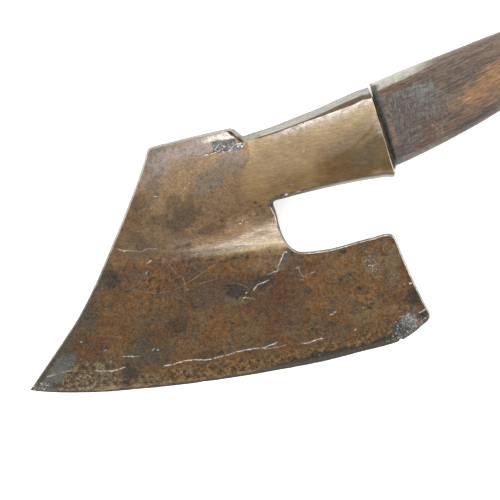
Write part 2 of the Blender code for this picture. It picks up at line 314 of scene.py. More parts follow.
def tones(value, stops):
    """Colours read from a ramp: stops are (place, colour)."""
    node = feed(add("ShaderNodeValToRGB"), {0: value})
    ramp = node.color_ramp
    while len(ramp.elements) < len(stops):
        ramp.elements.new(0.5)
    for element, (place, colour) in zip(ramp.elements, stops):
        element.position = place
        element.color = (*colour, 1)
    return node.outputs[0]


def laid_over(under, over, amount):
    """One colour over another by an amount from 0 to 1. Each may be a socket or a plain colour."""
    mix = add("ShaderNodeMix", data_type="RGBA")
    return feed(mix, {"Factor": amount, 6: under, 7: over}).outputs[2]


def grain(where, size, detail=2.0, roughness=0.5):
    """Soft noise with features about size millimetres wide, from 0 to 1 round 0.5."""
    looks = {"Scale": 1 / (size * MM), "Detail": detail, "Roughness": roughness}
    return feed(add("ShaderNodeTexNoise"), {"Vector": where, **looks}).outputs["Fac"]


def stretched_grain(where, length, width, detail=2.0, turn=0.0):
    """Noise drawn out along one direction: length and width of its features in millimetres."""
    turned = add("ShaderNodeVectorRotate", rotation_type="Z_AXIS")
    feed(turned, {"Vector": where, "Angle": math.radians(-turn)})
    drawn_out = vector_result("MULTIPLY", {0: turned.outputs["Vector"], 1: (width / length, 1, 1)})
    return grain(drawn_out, width, detail)


def bumped(height, strength, depth):
    """The normals of a surface with fine relief, depth metres deep."""
    bump = feed(add("ShaderNodeBump"), {"Strength": strength, "Distance": depth, "Height": height})
    return bump.outputs["Normal"]


def new_finish(name):
    """A material, its node tree and its Principled shader."""
    material = bpy.data.materials.new(name)
    material.use_nodes = True
    return material, material.node_tree, material.node_tree.nodes["Principled BSDF"]

# %% The tent of light
DIM_WAY = Vector((0.05, -0.22, 0.97)).normalized()
TENT_DIM = 0.66
TENT_BRIGHT = 2.1
TENT_TINT = (1.0, 0.995, 0.985)

world = bpy.data.worlds.new("tent")
world.use_nodes = True
tree = world.node_tree
place = add("ShaderNodeTexCoord").outputs["Generated"]
towards = feed(add("ShaderNodeVectorMath", operation="DOT_PRODUCT"), {0: place, 1: DIM_WAY})
glow = spread(towards.outputs["Value"], 0.97, 0.45, TENT_DIM, TENT_BRIGHT)
feed(tree.nodes["Background"], {"Color": TENT_TINT, "Strength": glow})
bpy.context.scene.world = world
bpy.context.scene.view_settings.view_transform = "Standard"
print("tent: strength", TENT_DIM, "overhead and", TENT_BRIGHT, "at its foot")

# %% The pale sweep under the axe
FLOOR_HALF = 4.0
FLOOR_GLOW = 0.42

floor_mesh = bpy.data.meshes.new("sweep")
corners = [(-1, -1), (1, -1), (1, 1), (-1, 1)]
floor_mesh.from_pydata([(x * FLOOR_HALF, y * FLOOR_HALF, 0.0) for x, y in corners], [], [(0, 1, 2, 3)])
floor = bpy.data.objects.new("sweep", floor_mesh)
bpy.context.scene.collection.objects.link(floor)
paper, tree, shader = new_finish("pale_sweep")
fibres = grain(add("ShaderNodeTexCoord").outputs["Object"], 90)
feed(shader, {
    "Base Color": tones(fibres, [(0.3, (0.93, 0.93, 0.93)), (0.7, (0.95, 0.95, 0.95))]),
    "Roughness": 0.9,
    "Specular IOR Level": 0.1,
    "Emission Color": (1, 1, 1),
    "Emission Strength": FLOOR_GLOW,
})
floor_mesh.materials.append(paper)
print("sweep:", 2 * FLOOR_HALF, "m square, lit a little from below")

# %% [markdown]
# ## How thick the head is
#
# From the cutting edge the blade thickens quickly, then slowly, up to the poll. The socket's body
# stands on it, thin at the left and 31 mm thick at the mouth, with a curved shoulder between the two.
# A hammered face has no hard folds, so each of these profiles is averaged over a few millimetres.

# %% Thickness over the plan
BLADE_RISES = (3, 16, 75, 165)
BLADE_THICKNESSES = (2.3, 4.1, 5.3, 8.8)
EDGE_LAND = 0.55
BEVEL_SLOPE = 0.55
BODY_PLACES = (84, 125, 200, 273)
BODY_HEIGHTS = (5.6, 12.6, 25.0, 31.0)
BODY_CROWN = 0.0012
BODY_MIDDLE = 122.0
SHOULDER_PLACES = (90, 125, 160, 196)
SHOULDER_CREASE = (79.5, 76.5, 74.3, 70.0)
SHOULDER_TOP = (84.0, 87.0, 90.5, 94.0)
POLL_FALL_Y = (128.0, 155.0)
POLL_FALL_X = (184.0, 168.0)
POLL_THICKNESS_PLACES = (110, 170)
POLL_THICKNESSES = (8.6, 13.0)

edge_line = curve_through(CUTTING_EDGE, OUTLINE_STEP)


def softly(x, places, values, reach):
    """A value read from a line with bends, with the bends rubbed out over the reach."""
    shifts = np.linspace(-reach, reach, 5)
    return sum(np.interp(x + shift, places, values) for shift in shifts) / len(shifts)


def rise_from_edge(x, y):
    return y - np.interp(x, edge_line[:, 0], edge_line[:, 1])


def blade_height(x, y):
    """Height of the blade's face: a honed bevel along the edge, then the slow swell of the blade."""
    rise = rise_from_edge(x, y)
    bevel = EDGE_LAND + BEVEL_SLOPE * np.maximum(rise, 0)
    return np.minimum(bevel, softly(rise, BLADE_RISES, BLADE_THICKNESSES, 5))


def body_height(x, y):
    """Height of the socket body's face, a little crowned, which falls towards the poll edge."""
    height = softly(x, BODY_PLACES, BODY_HEIGHTS, 6)
    poll = np.interp(x, POLL_THICKNESS_PLACES, POLL_THICKNESSES)
    across = ease((y - POLL_FALL_Y[0]) / (POLL_FALL_Y[1] - POLL_FALL_Y[0]))
    along = ease((x - POLL_FALL_X[0]) / (POLL_FALL_X[1] - POLL_FALL_X[0]))
    crown = BODY_CROWN * (y - BODY_MIDDLE) ** 2
    return height - crown + (np.minimum(poll, height) - height) * across * along


def face_height(x, y):
    """Height of the front face over a place of the plan."""
    blade = blade_height(x, y)
    crease = softly(x, SHOULDER_PLACES, SHOULDER_CREASE, 6)
    top = softly(x, SHOULDER_PLACES, SHOULDER_TOP, 6)
    up = sum(np.clip((y + shift - crease) / (top - crease), 0, 1) for shift in (-0.8, 0.0, 0.8)) / 3
    return blade + np.maximum(body_height(x, y) - blade, 0) * np.sin(up * math.pi / 2)


for name, x, y in (("mid blade", 140, 40), ("shoulder", 170, 80), ("socket body", 230, 125)):
    print(f"{name}: {float(face_height(np.float64(x), np.float64(y))):.1f} mm thick")

# %% [markdown]
# ## Hammer work, pits and old damage
#
# Nothing on a forged head is quite flat. Soft hills come from the hammer, fine pits from rust, and
# each crack has a story: the long bright seam above the cutting edge is where a strip of hard steel
# was welded to the iron body, and the crack at the throat runs in from the corner that takes the
# strain.
#
# The hills are smooth random values on a grid. The cracks are lines of a few points, laid one by one.
# Each carries a raised, rubbed lip painted with a highlight, and a groove along both its sides painted
# dark with shade. The mesh is made finer close to them, because a crack is under a millimetre wide.


# %% Soft random hills
HILL_GRID = 128


def hills(x, y, size, seed):
    """Smooth random heights, from -1 to 1, with hills about size millimetres wide."""
    table = np.random.default_rng(seed).uniform(-1, 1, (HILL_GRID, HILL_GRID))
    turn = 0.7 + seed
    u = (x * math.cos(turn) + y * math.sin(turn)) / size
    v = (y * math.cos(turn) - x * math.sin(turn)) / size
    i, j = np.floor(u).astype(int), np.floor(v).astype(int)
    a, b = ease(u - i), ease(v - j)
    i, j = i % HILL_GRID, j % HILL_GRID
    i2, j2 = (i + 1) % HILL_GRID, (j + 1) % HILL_GRID
    near = table[i, j] * (1 - a) + table[i2, j] * a
    far = table[i, j2] * (1 - a) + table[i2, j2] * a
    return near * (1 - b) + far * b


def ragged(x, y, size, seed):
    """Hills with finer hills on them."""
    return (hills(x, y, size, seed) + 0.5 * hills(x, y, size / 2.3, seed + 1)
            + 0.25 * hills(x, y, size / 5, seed + 2)) / 1.4


sample = hills(np.linspace(0, 300, 500), np.zeros(500), 20, 1)
print("hills range from", round(sample.min(), 2), "to", round(sample.max(), 2))

# %% Cracks, seams and scratches
# Each is (how it looks, its points in the plan). A look is (brightness of the lip, darkness of the
# groove, depth of the groove, height of the lip, half width). The lip's brightness is bare metal with a
# painted highlight, and the groove's darkness is painted shade.
SEAM = (0.80, 0.9, 0.22, 0.14, 0.25)
CRACK = (0.80, 0.9, 0.28, 0.12, 0.25)
FAINT_SEAM = (0.50, 0.35, 0.08, 0.05, 0.21)
SCRATCH = (0.70, 0.0, 0.03, 0.02, 0.24)
FAINT_SCRATCH = (0.45, 0.0, 0.02, 0.01, 0.24)
RUB = (0.90, 0.05, 0.0, 0.04, 0.42)

MARKS = [
    (SEAM, [(93, 0.1), (100, 0.2), (105, 0.9), (110, 1.0), (115, 0.5), (120, -0.3), (127, -1.0)]),
    (SEAM, [(128, -0.7), (133, -0.5), (137, 0.0), (140, 0.4), (146, 1.0), (153, 1.2), (160, 0.8),
            (164, 0.5)]),
    (SEAM, [(163.6, 0.3), (168, 1.3), (173.4, 2.7)]),
    (FAINT_SEAM, [(163, 0.0), (168, -0.8), (175, -0.8), (180, -0.2)]),
    (SEAM, [(190, -1.0), (195, -1.5), (200, -0.6), (205.4, -0.3)]),
    (SEAM, [(46, 5.0), (51, 4.1), (57, 3.0), (60, 3.2), (63, 3.6), (66.5, 4.2)]),
    (SEAM, [(66, 11.8), (69, 11.2), (74, 10.2)]),
    (FAINT_SEAM, [(74, 10.2), (78.5, 10.1)]),
    (FAINT_SEAM, [(11.0, 7.1), (15.5, 7.4), (20, 7.7), (28.8, 8.2)]),
    (FAINT_SCRATCH, [(28.8, 8.2), (36.5, 7.1), (44.6, 5.3)]),
    (FAINT_SCRATCH, [(16, 8.6), (21, 9.0), (26, 8.4)]),
    (FAINT_SEAM, [(76, 86.5), (80.5, 84.6), (88, 83.2), (93, 82.0), (96, 82.9), (99, 82.6), (103, 82.0)]),
    (FAINT_SCRATCH, [(103, 82.0), (106.5, 80.9)]),
    (FAINT_SCRATCH, [(97, 81.6), (99.5, 80.4)]),
    (CRACK, [(94.2, 72.9), (96, 73.6), (98, 74.4)]),
    (SCRATCH, [(104.5, 78.5), (108, 72.0), (113, 63.0), (117, 58.0), (117.6, 54.0), (116.5, 48.5)]),
    (FAINT_SCRATCH, [(111, 48.5), (113.5, 45.0), (115.5, 41.0)]),
    (FAINT_SCRATCH, [(79.5, 62.5), (82, 57.5), (89, 54.0), (95, 51.6), (105, 51.2), (115, 52.5)]),
    (SCRATCH, [(112, 52.0), (120, 54.8), (130, 59.2), (140, 63.8), (149.1, 68.4)]),
    (FAINT_SCRATCH, [(127, 52.5), (136, 53.4), (145, 55.0)]),
    (FAINT_SCRATCH, [(60, 27.0), (65, 26.0), (69, 24.5)]),
    (CRACK, [(183.2, 54.0), (182.5, 52.0), (179.8, 51.6), (177.5, 50.8), (174.8, 50.4)]),
    (SEAM, [(189.8, 64.4), (188.2, 62.1), (186.1, 58.8), (183.6, 55.0)]),
    (RUB, [(189.8, 63.9), (191.4, 63.5)]),
    (RUB, [(162.2, 153.4), (164.9, 152.6), (167.6, 150.6), (170.4, 148.6)]),
    (CRACK, [(175.8, 46.9), (171, 45.6), (167, 44.7), (165, 42.8), (163.4, 41.1)]),
    (SCRATCH, [(144, 48.7), (153, 48.4), (157, 46.2), (161.5, 42.2)]),
    (FAINT_SCRATCH, [(161, 41.8), (158, 39.8)]),
    (FAINT_SEAM, [(156.4, 37.6), (159, 36.8), (163.6, 34.6)]),
    (FAINT_SEAM, [(195.1, 51.0), (196.7, 51.8), (197.7, 48.1), (199.5, 43.8)]),
    (FAINT_SEAM, [(196.3, 43.4), (198.0, 42.7), (199.6, 43.0)]),
    (FAINT_SEAM, [(199.6, 43.9), (204.2, 45.9), (206.9, 46.5)]),
    (SCRATCH, [(204.2, 45.9), (206.9, 46.5), (209.0, 49.3), (213.2, 51.8)]),
    (FAINT_SCRATCH, [(193.4, 45.2), (194.2, 43.8)]),
    (FAINT_SCRATCH, [(233, 46.5), (236, 44.0), (237.5, 41.0)]),
    (SCRATCH, [(244.5, 54.4), (248, 52.2)]),
    (FAINT_SCRATCH, [(256.2, 55.0), (257.2, 52.0)]),
    (SCRATCH, [(256.5, 55.6), (260.5, 57.4)]),
    (FAINT_SEAM, [(261, 35.1), (263, 34.9)]),
    (CRACK, [(273.9, 5.4), (276.5, 6.3), (279.2, 7.7)]),
    (FAINT_SEAM, [(259.6, 5.0), (263.0, 5.1)]),
    (RUB, [(265.4, 5.2), (267.2, 5.6)]),
    (SCRATCH, [(132, 87.6), (134, 85.4), (136, 82.6)]),
    (FAINT_SCRATCH, [(124, 91.2), (128, 91.6), (132.5, 93.6)]),
    (CRACK, [(147.0, 139.6), (148.6, 140.3), (150.0, 140.0)]),
    (CRACK, [(151.2, 140.1), (153.6, 140.4), (155.6, 140.6)]),
    (CRACK, [(159.6, 140.3), (162.0, 139.9), (164.8, 140.1), (166.0, 140.8)]),
    (CRACK, [(168.8, 143.0), (170.4, 143.9), (172.4, 143.6), (174.2, 144.0), (175.6, 142.6)]),
    (CRACK, [(170.4, 142.2), (172.8, 142.6), (174.8, 141.8)]),
    (FAINT_SEAM, [(154.0, 142.0), (156.4, 144.0), (158.8, 146.2)]),
    (FAINT_SEAM, [(164.2, 140.2), (166.2, 141.8), (168.6, 143.6)]),
    (FAINT_SEAM, [(161.2, 143.2), (161.8, 144.6)]),
]


def nearest_on_line(x, y, points):
    """How far each place is from a line, whether it is above or below it, and how far along it."""
    best = np.full(x.shape, 1e9)
    side = np.zeros(x.shape)
    along = np.zeros(x.shape)
    gone = 0.0
    for (ax, ay), (bx, by) in zip(points[:-1], points[1:]):
        length = math.hypot(bx - ax, by - ay)
        tx, ty = (bx - ax) / length, (by - ay) / length
        t = np.clip((x - ax) * tx + (y - ay) * ty, 0, length)
        dx, dy = x - ax - tx * t, y - ay - ty * t
        distance = np.hypot(dx, dy)
        nearer = distance < best
        best = np.where(nearer, distance, best)
        side = np.where(nearer, np.sign(dy), side)
        along = np.where(nearer, gone + t, along)
        gone += length
    return best, side, along


def wandering(points):
    """A laid line with a fine natural wander, as a crack has."""
    line = curve_through(points, 0.9)
    if len(line) < 4:
        return line
    wander = 0.24 * hills(line[:, 0], line[:, 1], 2.1, 41) + 0.10 * hills(line[:, 0], line[:, 1], 0.9, 42)
    across = unit(line[-1] - line[0])[::-1] * (-1, 1)
    return line + wander[:, None] * across


mark_lines = [(look, wandering(points)) for look, points in MARKS]
mark_length = sum(np.linalg.norm(np.diff(line, axis=0), axis=1).sum() for look, line in mark_lines)
print(len(MARKS), "marks,", round(mark_length), "mm of them in all")

# %% Dents, flecks and chips
# Dents are (x, y, half length, half width, turn in degrees, depth).
DENTS = [
    (168.6, 3.3, 4.6, 1.5, 14, 0.35), (214.4, 17.9, 2.6, 1.3, 8, 0.45), (196.6, 44.9, 1.9, 1.0, 0, 0.35),
    (163.6, 91.0, 1.4, 0.9, 30, 0.4), (125.0, 81.0, 1.4, 1.0, 60, 0.3), (161.9, 114.0, 1.3, 1.3, 0, 0.2),
    (200.8, 35.0, 1.8, 1.6, 0, 0.2), (224.8, 40.0, 1.4, 1.0, 0, 0.2), (270.4, 28.9, 1.6, 0.8, -60, 0.6),
    (90.6, 13.2, 1.8, 1.0, -20, 0.15), (193.4, 101.6, 3.6, 1.5, 12, 1.1), (205.4, 102.9, 3.0, 0.9, -8, 0.6),
    (219.0, 104.8, 0.8, 0.6, 0, 0.4), (217.5, 150.4, 0.9, 0.6, 0, 0.3), (167.6, 151.4, 3.0, 1.0, -42, 1.2),
    (173.2, 146.6, 2.6, 1.0, -58, 1.3), (188.6, 59.6, 5.2, 1.3, 60, 0.25),
]
# Flecks are spots rubbed or knocked down to bright metal: (x, y, radius, brightness).
FLECKS = [
    (80.8, 84.3, 0.8, 0.9), (87.9, 13.0, 0.8, 0.6), (91.0, 12.0, 0.9, 0.6), (93.2, 66.8, 1.1, 0.4),
    (39.3, 27.0, 0.6, 0.8), (0.6, 1.9, 0.6, 0.8), (6.8, 2.4, 0.9, 0.7), (7.4, -1.6, 0.6, 0.6),
    (10.2, 0.9, 0.9, 0.5), (55.2, 18.3, 1.0, 0.3), (108.6, 118.0, 0.8, 0.7), (130.0, 120.4, 0.5, 0.8),
    (133.6, 123.4, 0.5, 0.7), (163.0, 90.0, 0.9, 0.7), (165.0, 91.7, 0.6, 0.6), (118.6, 50.2, 0.7, 0.35),
    (158.2, 40.6, 0.6, 0.9), (156.5, 37.5, 0.8, 0.8), (271.7, 26.9, 0.9, 1.0), (267.5, 27.3, 0.5, 0.7),
    (236.5, 16.0, 0.6, 0.7), (214.2, 131.5, 0.6, 0.6), (143.2, 75.2, 0.5, 0.8), (200.9, -11.6, 0.5, 0.8),
    (228.6, 1.7, 0.8, 0.6), (251.0, 9.0, 0.5, 0.5), (257.0, 1.9, 0.5, 0.8), (255.8, -5.6, 0.5, 1.0),
    (252.0, -4.4, 0.4, 0.6), (262.3, -4.9, 0.4, 0.8), (264.3, -6.9, 0.35, 0.5), (168.0, 151.8, 0.7, 0.5),
    (197.3, 104.0, 1.5, 0.9), (205.8, 104.4, 1.5, 0.9), (210.6, 104.0, 1.3, 0.7), (208.0, 104.3, 0.9, 0.7),
    (154.6, 140.6, 0.6, 1.0), (158.6, 141.8, 0.5, 0.8), (161.7, 143.6, 0.5, 0.8), (173.6, 141.6, 0.6, 0.8),
    (257.4, -9.3, 0.4, 0.7), (151.0, 10.4, 0.5, 0.3), (126.0, 64.0, 0.8, 0.25), (217.0, 16.3, 0.6, 0.4),
    (213.4, 15.1, 1.0, 0.6), (215.6, 15.8, 0.9, 0.6), (277.6, 0.9, 0.7, 0.3), (206.0, 139.6, 1.0, 0.2),
]
# Pits are small dark spots of old rust: (x, y, half length, half width).
PITS = [
    (152.0, 99.7, 0.8, 0.6), (151.0, 93.9, 1.2, 0.9), (176.2, 102.5, 1.1, 0.7), (179.3, 99.9, 1.2, 0.9),
    (175.5, 93.7, 1.3, 0.7), (170.5, 94.3, 1.1, 0.8), (150.5, 84.6, 0.9, 0.9), (56.2, 19.2, 1.2, 1.1),
    (121.6, 36.9, 1.0, 1.0), (83.3, 50.5, 1.2, 0.8), (98.6, 51.8, 1.2, 1.0), (94.4, 61.1, 1.6, 1.0),
    (112.7, 57.4, 1.4, 1.0), (224.3, 38.0, 1.4, 1.2), (200.6, 34.3, 2.0, 1.4), (236.0, 29.6, 2.0, 1.4),
    (230.0, 57.0, 1.8, 0.9), (199.2, 7.7, 0.9, 0.7), (263.0, 34.9, 1.3, 0.6), (239.6, 17.7, 1.2, 0.6),
    (134.0, 2.4, 2.0, 0.9), (160.4, 66.3, 0.9, 0.6), (71.0, 68.0, 1.6, 1.3), (138.5, 67.4, 1.6, 1.0),
    (163.8, 65.0, 1.2, 1.0), (133.2, 79.9, 0.8, 0.6), (154.0, 66.0, 1.2, 0.7), (145.0, 62.0, 1.2, 0.9),
    (191.6, 103.4, 2.4, 0.8), (195.2, 104.0, 1.7, 1.1), (203.2, 104.4, 1.6, 0.7), (213.4, 104.2, 2.6, 0.5),
]
# The broken patch by the step: its corners, and how deep it lies.
BREAK = [
    (153.4, 148.2), (169.4, 147.6), (170.2, 144.4), (175.6, 143.4), (173.2, 140.0), (165.4, 139.6),
    (153.6, 140.4),
]
BREAK_DEPTH = 0.7


def close_to(x, y, points, reach):
    """Which places lie in the box of some points, with room all round."""
    low, high = np.min(points, axis=0) - reach, np.max(points, axis=0) + reach
    return (x > low[0]) & (x < high[0]) & (y > low[1]) & (y < high[1])


def inside_ring(ring, points):
    """Which points lie inside a closed ring."""
    inside = np.zeros(len(points), bool)
    x, y = points.T
    for (ax, ay), (bx, by) in zip(ring, np.roll(ring, -1, axis=0)):
        if ay != by:
            spans = (ay > y) != (by > y)
            inside ^= spans & (x < ax + (y - ay) * (bx - ax) / (by - ay))
    return inside


def oval(x, y, cx, cy, length, width, turn):
    """How far a place is from the middle of an oval, where 1 is its rim."""
    c, s = math.cos(math.radians(turn)), math.sin(math.radians(turn))
    dx, dy = x - cx, y - cy
    return np.hypot((dx * c + dy * s) / length, (dy * c - dx * s) / width)


def break_amount(x, y):
    """1 inside the broken patch by the step, falling to 0 over half a millimetre at its rim."""
    amount = np.zeros(x.shape)
    at = np.nonzero(close_to(x, y, BREAK, 2))[0]
    if len(at):
        place = np.column_stack([x[at], y[at]])
        to_rim = nearest_on_line(x[at], y[at], BREAK + BREAK[:1])[0]
        depth = np.where(inside_ring(np.array(BREAK), place), to_rim, -to_rim)
        amount[at] = ease((depth + 0.45 * hills(x[at], y[at], 1.9, 51)) / 0.7 + 0.5)
    return amount


print(len(DENTS), "dents and chips,", len(FLECKS), "bright flecks,", len(PITS), "pits, and one broken patch")


# %% The wear as height and as bare metal
def mark_wear(x, y):
    """What the marks do to each place: height to add, bright metal and painted highlight, warm scratch, and
    painted shade in the groove.
    """
    height, bright, warm, dark = (np.zeros(x.shape) for i in range(4))
    for look, line in mark_lines:
        shine, groove_shade, depth, lip, half = look
        at = np.nonzero(close_to(x, y, line, 2.5))[0]
        if not len(at):
            continue
        distance, side, along = nearest_on_line(x[at], y[at], line)
        length = np.linalg.norm(np.diff(line, axis=0), axis=1).sum()
        broken = 0.74 + 0.42 * hills(x[at], y[at], 2.4, 61) + 0.30 * hills(x[at], y[at], 1.1, 64)
        tip = ease(along / 1.5 + 0.35) * ease((length - along) / 1.5 + 0.35)
        crest = np.exp(-((distance / (half * (0.8 + 0.4 * broken))) ** 2)) * tip
        trench = np.exp(-(((distance - 2 * half) / (0.85 * half)) ** 2)) * tip
        trench = trench * np.where(side > 0, 1.0, 0.4)
        height[at] += crest * lip - trench * depth
        # The lip beside a groove is painted bright as a highlight on bare metal, and the groove is painted
        # dark with shade, more on one side.
        metal = bright if groove_shade else warm
        metal[at] = np.maximum(metal[at], shine * crest * broken)
        dark[at] = np.maximum(dark[at], groove_shade * trench)
    return height, bright, warm, dark


def dent_wear(x, y):
    """The dents' height, and the grime and painted shade that sit in them."""
    height, grime_and_shade = np.zeros(x.shape), np.zeros(x.shape)
    for cx, cy, length, width, turn, depth in DENTS:
        at = np.nonzero(close_to(x, y, [(cx, cy)], 2 * max(length, width)))[0]
        if not len(at):
            continue
        r = oval(x[at], y[at], cx, cy, length, width, turn) + 0.18 * hills(x[at], y[at], 1.3, 62)
        hollow = ease(1.35 - r)
        height[at] -= depth * hollow
        grime_and_shade[at] = np.maximum(grime_and_shade[at], hollow * min(1.0, 0.45 + depth))
    return height, grime_and_shade


def fleck_wear(x, y):
    bright = np.zeros(x.shape)
    for k, (cx, cy, radius, shine) in enumerate(FLECKS):
        at = np.nonzero(close_to(x, y, [(cx, cy)], 2.5 * radius))[0]
        if len(at):
            turn = 20 + 25 * math.sin(2.4 * k)
            r = oval(x[at], y[at], cx, cy, 1.1 * radius, 0.42 * radius, turn)
            r += 0.45 * hills(x[at], y[at], 0.8, 63)
            bright[at] = np.maximum(bright[at], shine * ease(1.5 - r))
    return bright


def hammered(x, y):
    """The soft hills of the forging, and fine rust pits, in millimetres."""
    body = rising(y, 80, 12)
    soft = 0.20 * hills(x, y, 36, 11) + 0.085 * hills(x, y, 13, 12)
    fine = 0.030 * hills(x, y, 4.6, 13) + 0.012 * hills(x, y, 1.9, 14)
    pits = -0.05 * np.clip(hills(x, y, 2.7, 15) - 0.35, 0, 1)
    return soft + (fine + pits) * (1.0 - 0.45 * body)


def wear_height(x, y):
    """Everything that lifts or sinks the face, kept small where the metal is thin."""
    broken = break_amount(x, y)
    ridges = hills(x + y, (y - x) * 0.35, 1.8, 52)
    rough = 0.26 * ridges + 0.16 * hills(x, y, 0.9, 53)
    height = hammered(x, y) + mark_wear(x, y)[0] + dent_wear(x, y)[0]
    height = height + broken * (rough - BREAK_DEPTH)
    return height * np.clip(face_height(x, y) / 4.0, 0.06, 1.0)


def top_height(x, y):
    return face_height(x, y) + wear_height(x, y)


probe_x, probe_y = np.meshgrid(np.arange(60.0, 180, 2), np.arange(10.0, 60, 2))
worn = wear_height(probe_x.ravel(), probe_y.ravel())
print("wear on the blade, from", round(worn.min(), 2), "to", round(worn.max(), 2), "mm")

# %% [markdown]
# ## The rings of the head's side
#
# The side of the head is a stack of rings that all follow the outline: a small radius at the flat
# back, the leaning wall, and the arris up to the rim of the face. Moving an outline inwards is easy
# where it is smooth. At a sharp corner both edges' offsets have to meet in a mitre, so the rings are
# worked out on the plan's own wide-spaced points, and only then filled in with fine ones.
# A forged corner isn't sharp, so the step and the poll corner are then rubbed round, and
# the whole outline wavers by a fraction of a millimetre.

# %% Mitred rings on the wide-spaced points
SHARP_TURN = 0.6


def edge_normals(points):
    """The inward direction of the edge after each point, and of the edge before it."""
    along = np.roll(points, -1, axis=0) - points
    along /= np.linalg.norm(along, axis=1)[:, None]
    after = np.column_stack([-along[:, 1], along[:, 0]])
    return np.roll(after, 1, axis=0), after


def turns(points):
    before, after = edge_normals(points)
    return before[:, 0] * after[:, 1] - before[:, 1] * after[:, 0]


def inset(points, depth_before, depth_after):
    """The outline moved inwards, with a depth for the edge before and the edge after each point."""
    moved = []
    before, after = edge_normals(points)
    for p, n1, n2, d1, d2, turn in zip(points, before, after, depth_before, depth_after, turns(points)):
        if abs(turn) < SHARP_TURN:
            moved.append(p + unit(n1 + n2) * (d1 + d2) / 2)
        else:
            moved.append(p + np.array([d1 * n2[1] - d2 * n1[1], d2 * n1[0] - d1 * n2[0]]) / turn)
    return np.array(moved)


# The arris along the socket's top widens into a filed bevel towards the mouth.
BEVEL_PLACES = (222, 232, 242, 250, 258, 267)
BEVEL_WIDTHS = (1.0, 1.6, 2.5, 3.7, 3.8, 2.1)
STEP_ARRIS = 1.9

chalk_lean = np.array([EDGES[i][1] for i in chalk_edges])
chalk_arris = np.array([EDGES[i][2] for i in chalk_edges])
grows = chalk_edges == edge_number["socket_top"]
chalk_arris[grows] = np.interp(chalk[grows, 0], BEVEL_PLACES, BEVEL_WIDTHS)
chalk_arris[chalk_edges == edge_number["step"]] = STEP_ARRIS

lean_before, arris_before = np.roll(chalk_lean, 1), np.roll(chalk_arris, 1)
mean_arris = (arris_before + chalk_arris) / 2
wall_height = face_height(*inset(chalk, arris_before, chalk_arris).T) - mean_arris
chalk_top = inset(chalk, lean_before * wall_height, chalk_lean * wall_height)
chalk_rim = inset(chalk, lean_before * wall_height + arris_before, chalk_lean * wall_height + chalk_arris)
chalk_sharp = np.abs(turns(chalk)) >= SHARP_TURN
print(int(chalk_sharp.sum()), "sharp corners among", len(chalk), "points")

# %% Fill the rings in with fine points
RING_STEP = 1.0

spans = np.linalg.norm(np.roll(chalk, -1, axis=0) - chalk, axis=1)
span_parts = np.maximum(1, np.round(spans / RING_STEP)).astype(int)
first_of = np.concatenate([[0], np.cumsum(span_parts)])[:-1]


def filled_in(ring):
    """A closed ring with fine points, smooth everywhere but at its sharp corners."""
    before, after = np.roll(ring, 1, axis=0), np.roll(ring, -1, axis=0)
    h0 = np.linalg.norm(ring - before, axis=1)[:, None]
    h1 = np.linalg.norm(after - ring, axis=1)[:, None]
    slope0, slope1 = (ring - before) / h0, (after - ring) / h1
    middle = (slope0 * h1 + slope1 * h0) / (h0 + h1)
    sharp = chalk_sharp[:, None]
    leaving, arriving = np.where(sharp, slope1, middle), np.where(sharp, slope0, middle)
    rows = []
    for i, parts in enumerate(span_parts):
        j = (i + 1) % len(ring)
        u = np.arange(parts)[:, None] / parts
        h = h1[i]
        start = (2 * u**3 - 3 * u**2 + 1) * ring[i] + (u**3 - 2 * u**2 + u) * h * leaving[i]
        rows.append(start + (3 * u**2 - 2 * u**3) * ring[j] + (u**3 - u**2) * h * arriving[j])
    return np.vstack(rows)


def corner_index(corner):
    """Where a named corner stands among the fine points."""
    nearest = np.linalg.norm(chalk - np.array(corner), axis=1).argmin()
    return first_of[nearest]


def rubbed_round(ring, corner, reach, rubs):
    """A ring with one corner worn round, as hands and use do."""
    window = (corner_index(corner) + np.arange(-reach, reach + 1)) % len(ring)
    for rub in range(rubs):
        kept = ring[window]
        ring[window[1:-1]] = kept[1:-1] / 2 + (kept[2:] + kept[:-2]) / 4
    return ring


outline, wall_top, rim = filled_in(chalk), filled_in(chalk_top), filled_in(chalk_rim)
for ring in (outline, wall_top, rim):
    rubbed_round(ring, STEP_HIGH, 6, 9)
    rubbed_round(ring, STEP_LOW, 3, 4)
    rubbed_round(ring, POLL_CORNER, 3, 3)
ring_count = len(outline)
ring_edge = np.repeat(chalk_edges, span_parts)
ring_arris = np.concatenate([np.linspace(a, b, n, endpoint=False)
                             for a, b, n in zip(mean_arris, np.roll(mean_arris, -1), span_parts)])
print(ring_count, "points round each ring")

# %% Let the outline waver, and knock its nicks in
# Each nick is (x, y, half width, depth); one with a depth below nought is a spur.
NICKS = [
    (258.2, -10.7, 1.4, 2.0), (196.3, -16.4, 1.0, 0.35), (118.0, -16.0, 2.0, 0.2), (262.8, -9.6, 0.9, 0.3),
    (271.9, 26.4, 1.6, 0.5), (69.0, -12.4, 1.5, 0.2), (279.5, 0.5, 6.0, -0.4),
]
# How far an edge was forged inside its chalk line, and how much steeper its wall came out.
TRIM = {"cutting_edge": -0.2, "heel_end": -0.55, "throat": -0.3, "underside": 0.75, "socket_top": -0.55}
STEEPER = {"throat": 0.055, "socket_top": 0.03}


def round_the_ring(values, reach=5):
    """A number for every point of a ring, from numbers by edge, smoothed where two edges meet."""
    by_edge = np.array([values.get(name, 0.0) for name in edge_number])[ring_edge]
    window = np.arange(ring_count)[:, None] + np.arange(-reach, reach + 1)
    return by_edge[window % ring_count].mean(1)


